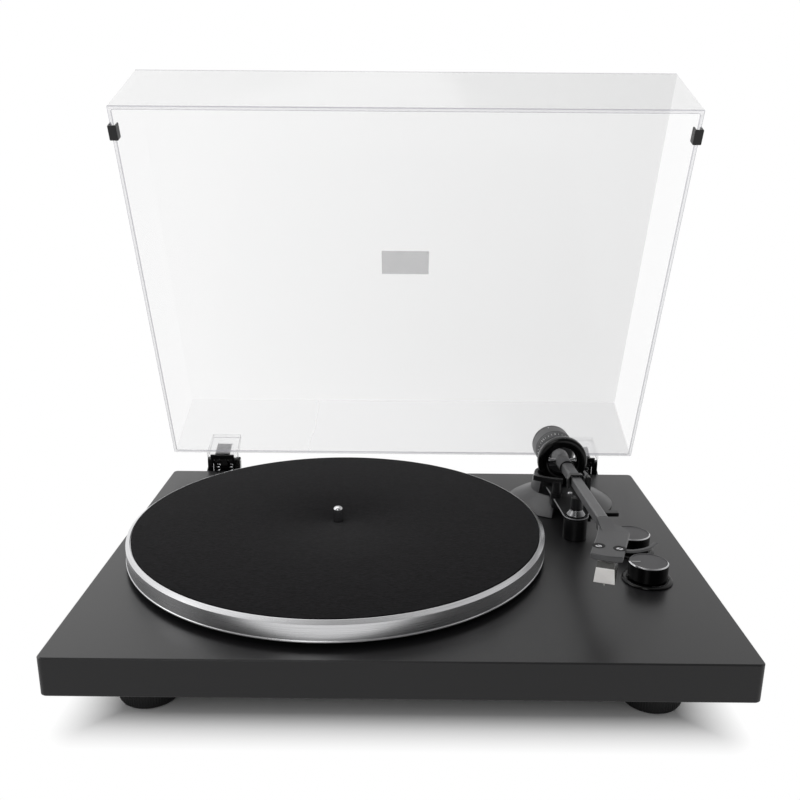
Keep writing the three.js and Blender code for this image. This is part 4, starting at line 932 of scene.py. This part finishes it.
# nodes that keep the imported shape

keptLooks = {
    "bottom_plate": underFinish, "drive_motor": steelFinish, "drive_belt": beltFinish, "bearing_housing": brassFinish,
    "speed_switch": underFinish, "power_switch": underFinish, "circuit_board": boardFinish,
    "terminal_plate": blackFinish, "phono_jacks": brassFinish, "ground_post": chromeFinish,
    "power_inlet": blackFinish, "motor_pulley": brassFinish, "sub_platter": blackFinish,
    "hinge_spring_left_outer": steelFinish, "hinge_spring_left_inner": steelFinish,
    "hinge_spring_right_outer": steelFinish, "hinge_spring_right_inner": steelFinish,
}
for node, material in keptLooks.items():
    nodes[node].data.materials.clear()
    nodes[node].data.materials.append(material)
print("kept nodes dressed")


# blank label on the cover

labelLook = {"width": 41.7, "depth": 22.6, "thickness": 0.25, "x": 1.0, "y": 8.9, "top": 86.5, "gap": 0.05}


def labelPiece():
    look = labelLook
    pick(None)
    bpy.ops.mesh.primitive_plane_add(size=mm, location=(0, 0, 0))
    piece = bpy.context.object
    piece.name = "coverLabel"
    editAll()
    bpy.ops.transform.resize(value=(look["width"], look["depth"], 1), center_override=(0, 0, 0))
    bpy.ops.mesh.extrude_region_move(TRANSFORM_OT_translate={"value": (0, 0, look["thickness"] * mm)})
    closeUp()
    up = look["top"] - coverLook["hingeZ"] + look["gap"]
    settle(piece, coverFrame() @ Matrix.Translation(Vector((look["x"], look["y"] - coverLook["hingeY"], up)) * mm))
    softEdges(piece, 0.08, 1, 30)
    return addOn(piece, "cover", labelFinish)


labelPiece()


# floor, light and camera

def seenRays(tree, glossy=True):
    # one for the rays that show a thing to the camera, straight, mirrored or through glass
    path = tree.nodes.new("ShaderNodeLightPath")
    seen = mathNode(tree, "ADD", path.outputs["Is Camera Ray"], path.outputs["Is Transmission Ray"], clamp=True)
    return mathNode(tree, "ADD", seen, path.outputs["Is Glossy Ray"], clamp=True) if glossy else seen


def mixShaders(tree, share, first, second, output):
    mix = tree.nodes.new("ShaderNodeMixShader")
    tree.links.new(share, mix.inputs["Fac"])
    tree.links.new(first, mix.inputs[1])
    tree.links.new(second, mix.inputs[2])
    tree.links.new(mix.outputs["Shader"], output.inputs["Surface"])


def floorMaterial():
    # white paper: the shadow stays under the plinth and fades out just in front of it
    f = {"halfX": 0.185, "halfY": 0.162, "middleY": -0.0398, "from": -0.017, "to": 0.02}
    material, tree, shader = blankMaterial("studioFloor")
    shader.inputs["Base Color"].default_value = (0.93, 0.93, 0.93, 1)
    shader.inputs["Roughness"].default_value = 0.9
    shader.inputs["Specular IOR Level"].default_value = 0.0
    place = splitAxes(tree, objectCoords(tree, move=(0, -f["middleY"], 0)))
    beyondX = mathNode(tree, "SUBTRACT", mathNode(tree, "ABSOLUTE", place["X"]), f["halfX"])
    beyondY = mathNode(tree, "SUBTRACT", mathNode(tree, "ABSOLUTE", place["Y"]), f["halfY"])
    outX = mathNode(tree, "POWER", mathNode(tree, "MAXIMUM", beyondX, 0.0), 2.0)
    outY = mathNode(tree, "POWER", mathNode(tree, "MAXIMUM", beyondY, 0.0), 2.0)
    outside = mathNode(tree, "SQRT", mathNode(tree, "ADD", outX, outY))
    inside = mathNode(tree, "MINIMUM", mathNode(tree, "MAXIMUM", beyondX, beyondY), 0.0)
    away = mathNode(tree, "ADD", outside, inside)
    share = mathNode(tree, "MULTIPLY", spread(tree, away, 0.0, 1.0, f["from"], f["to"]), seenRays(tree))
    glow = tree.nodes.new("ShaderNodeEmission")
    mixShaders(tree, share, shader.outputs["BSDF"], glow.outputs["Emission"], tree.nodes["Material Output"])
    return material


def floorPiece():
    pick(None)
    bpy.ops.mesh.primitive_plane_add(size=12, location=(0, 0, 0))
    floor = bpy.context.object
    floor.name = "studioFloor"
    floor.data.materials.append(floorMaterial())
    return floor


def paleWorld():
    # a white backdrop behind, and a dimmer room in front and overhead
    w = {"front": 0.2, "overhead": 0.85, "middle": 0.7, "left": 1.14, "right": 0.8}
    world = bpy.data.worlds.new("paleStudio")
    bpy.context.scene.world = world
    world.use_nodes = True
    tree = world.node_tree
    way = splitAxes(tree, tree.nodes.new("ShaderNodeTexCoord").outputs["Generated"])
    behind = spread(tree, way["Y"], w["front"], 1.0, -0.55, 0.02)
    above = spread(tree, way["Z"], 1.0, w["overhead"], 0.45, 0.9)
    soft = tree.nodes["Background"]
    soft.inputs["Color"].default_value = (1, 1, 1, 1)
    # the middle of the room is a little darker than its two sides, and its right side than its left
    aside = spread(tree, mathNode(tree, "ABSOLUTE", way["X"]), w["middle"], 1.0, 0.04, 0.36)
    across = spread(tree, way["X"], w["left"], w["right"], -0.3, 0.3)
    depth = mathNode(tree, "MULTIPLY", behind, above)
    breadth = mathNode(tree, "MULTIPLY", aside, across)
    tree.links.new(mathNode(tree, "MULTIPLY", depth, breadth), soft.inputs["Strength"])
    white = tree.nodes.new("ShaderNodeBackground")
    white.inputs["Color"].default_value = (1, 1, 1, 1)
    white.inputs["Strength"].default_value = 1.0
    mixShaders(tree, seenRays(tree, False), soft.outputs["Background"], white.outputs["Background"],
               tree.nodes["World Output"])


# places and sizes in metres
softboxes = {
    "overheadSoftbox": {"place": (-0.35, 0.55, 1.45), "aim": (0, 0, 0.05), "size": (1.5, 1.0), "watts": 6},
    "leftSoftbox": {"place": (-1.5, -0.2, 0.8), "aim": (0, 0, 0.1), "size": (0.8, 1.0), "watts": 3},
    "frontSoftbox": {"place": (-0.35, -1.5, 1.0), "aim": (0, 0, 0.05), "size": (0.6, 0.8), "watts": 4.5},
}


def softLamp(name, place, aim, size, watts):
    lamp = bpy.data.lights.new(name, "AREA")
    lamp.shape = "RECTANGLE"
    lamp.size, lamp.size_y = size
    lamp.energy = watts
    obj = bpy.data.objects.new(name, lamp)
    bpy.context.scene.collection.objects.link(obj)
    obj.location = place
    obj.rotation_euler = (Vector(aim) - Vector(place)).to_track_quat("-Z", "Y").to_euler()
    return obj


cameraLook = {"place": (0.34, -611.65, 273.9), "yaw": -0.0036, "pitch": 0.2926, "roll": 0.0078, "focal": 890.4,
              "centre": (400.0, 430.0), "frame": 800.0}


def photoCamera():
    c = cameraLook
    sinYaw, cosYaw = math.sin(c["yaw"]), math.cos(c["yaw"])
    sinPitch, cosPitch = math.sin(c["pitch"]), math.cos(c["pitch"])
    ahead = Vector((sinYaw * cosPitch, cosYaw * cosPitch, -sinPitch))
    level = Vector((cosYaw, -sinYaw, 0))
    upright = level.cross(ahead)
    right = level * math.cos(c["roll"]) + upright * math.sin(c["roll"])
    up = upright * math.cos(c["roll"]) - level * math.sin(c["roll"])
    data = bpy.data.cameras.new("photoCamera")
    data.sensor_width = 36
    data.lens = c["focal"] / c["frame"] * 36
    data.shift_x = (c["frame"] / 2 - c["centre"][0]) / c["frame"]
    data.shift_y = (c["centre"][1] - c["frame"] / 2) / c["frame"]
    data.clip_start = 0.01
    obj = bpy.data.objects.new("photoCamera", data)
    bpy.context.scene.collection.objects.link(obj)
    turn = Matrix((right, up, -ahead)).transposed().to_4x4()
    obj.matrix_world = Matrix.Translation(deckPoint(*c["place"])) @ turn
    bpy.context.scene.camera = obj


floorPiece()
paleWorld()
for name, look in softboxes.items():
    softLamp(name, **look)
photoCamera()
bpy.context.scene.view_settings.view_transform = "Standard"
print("stage set")
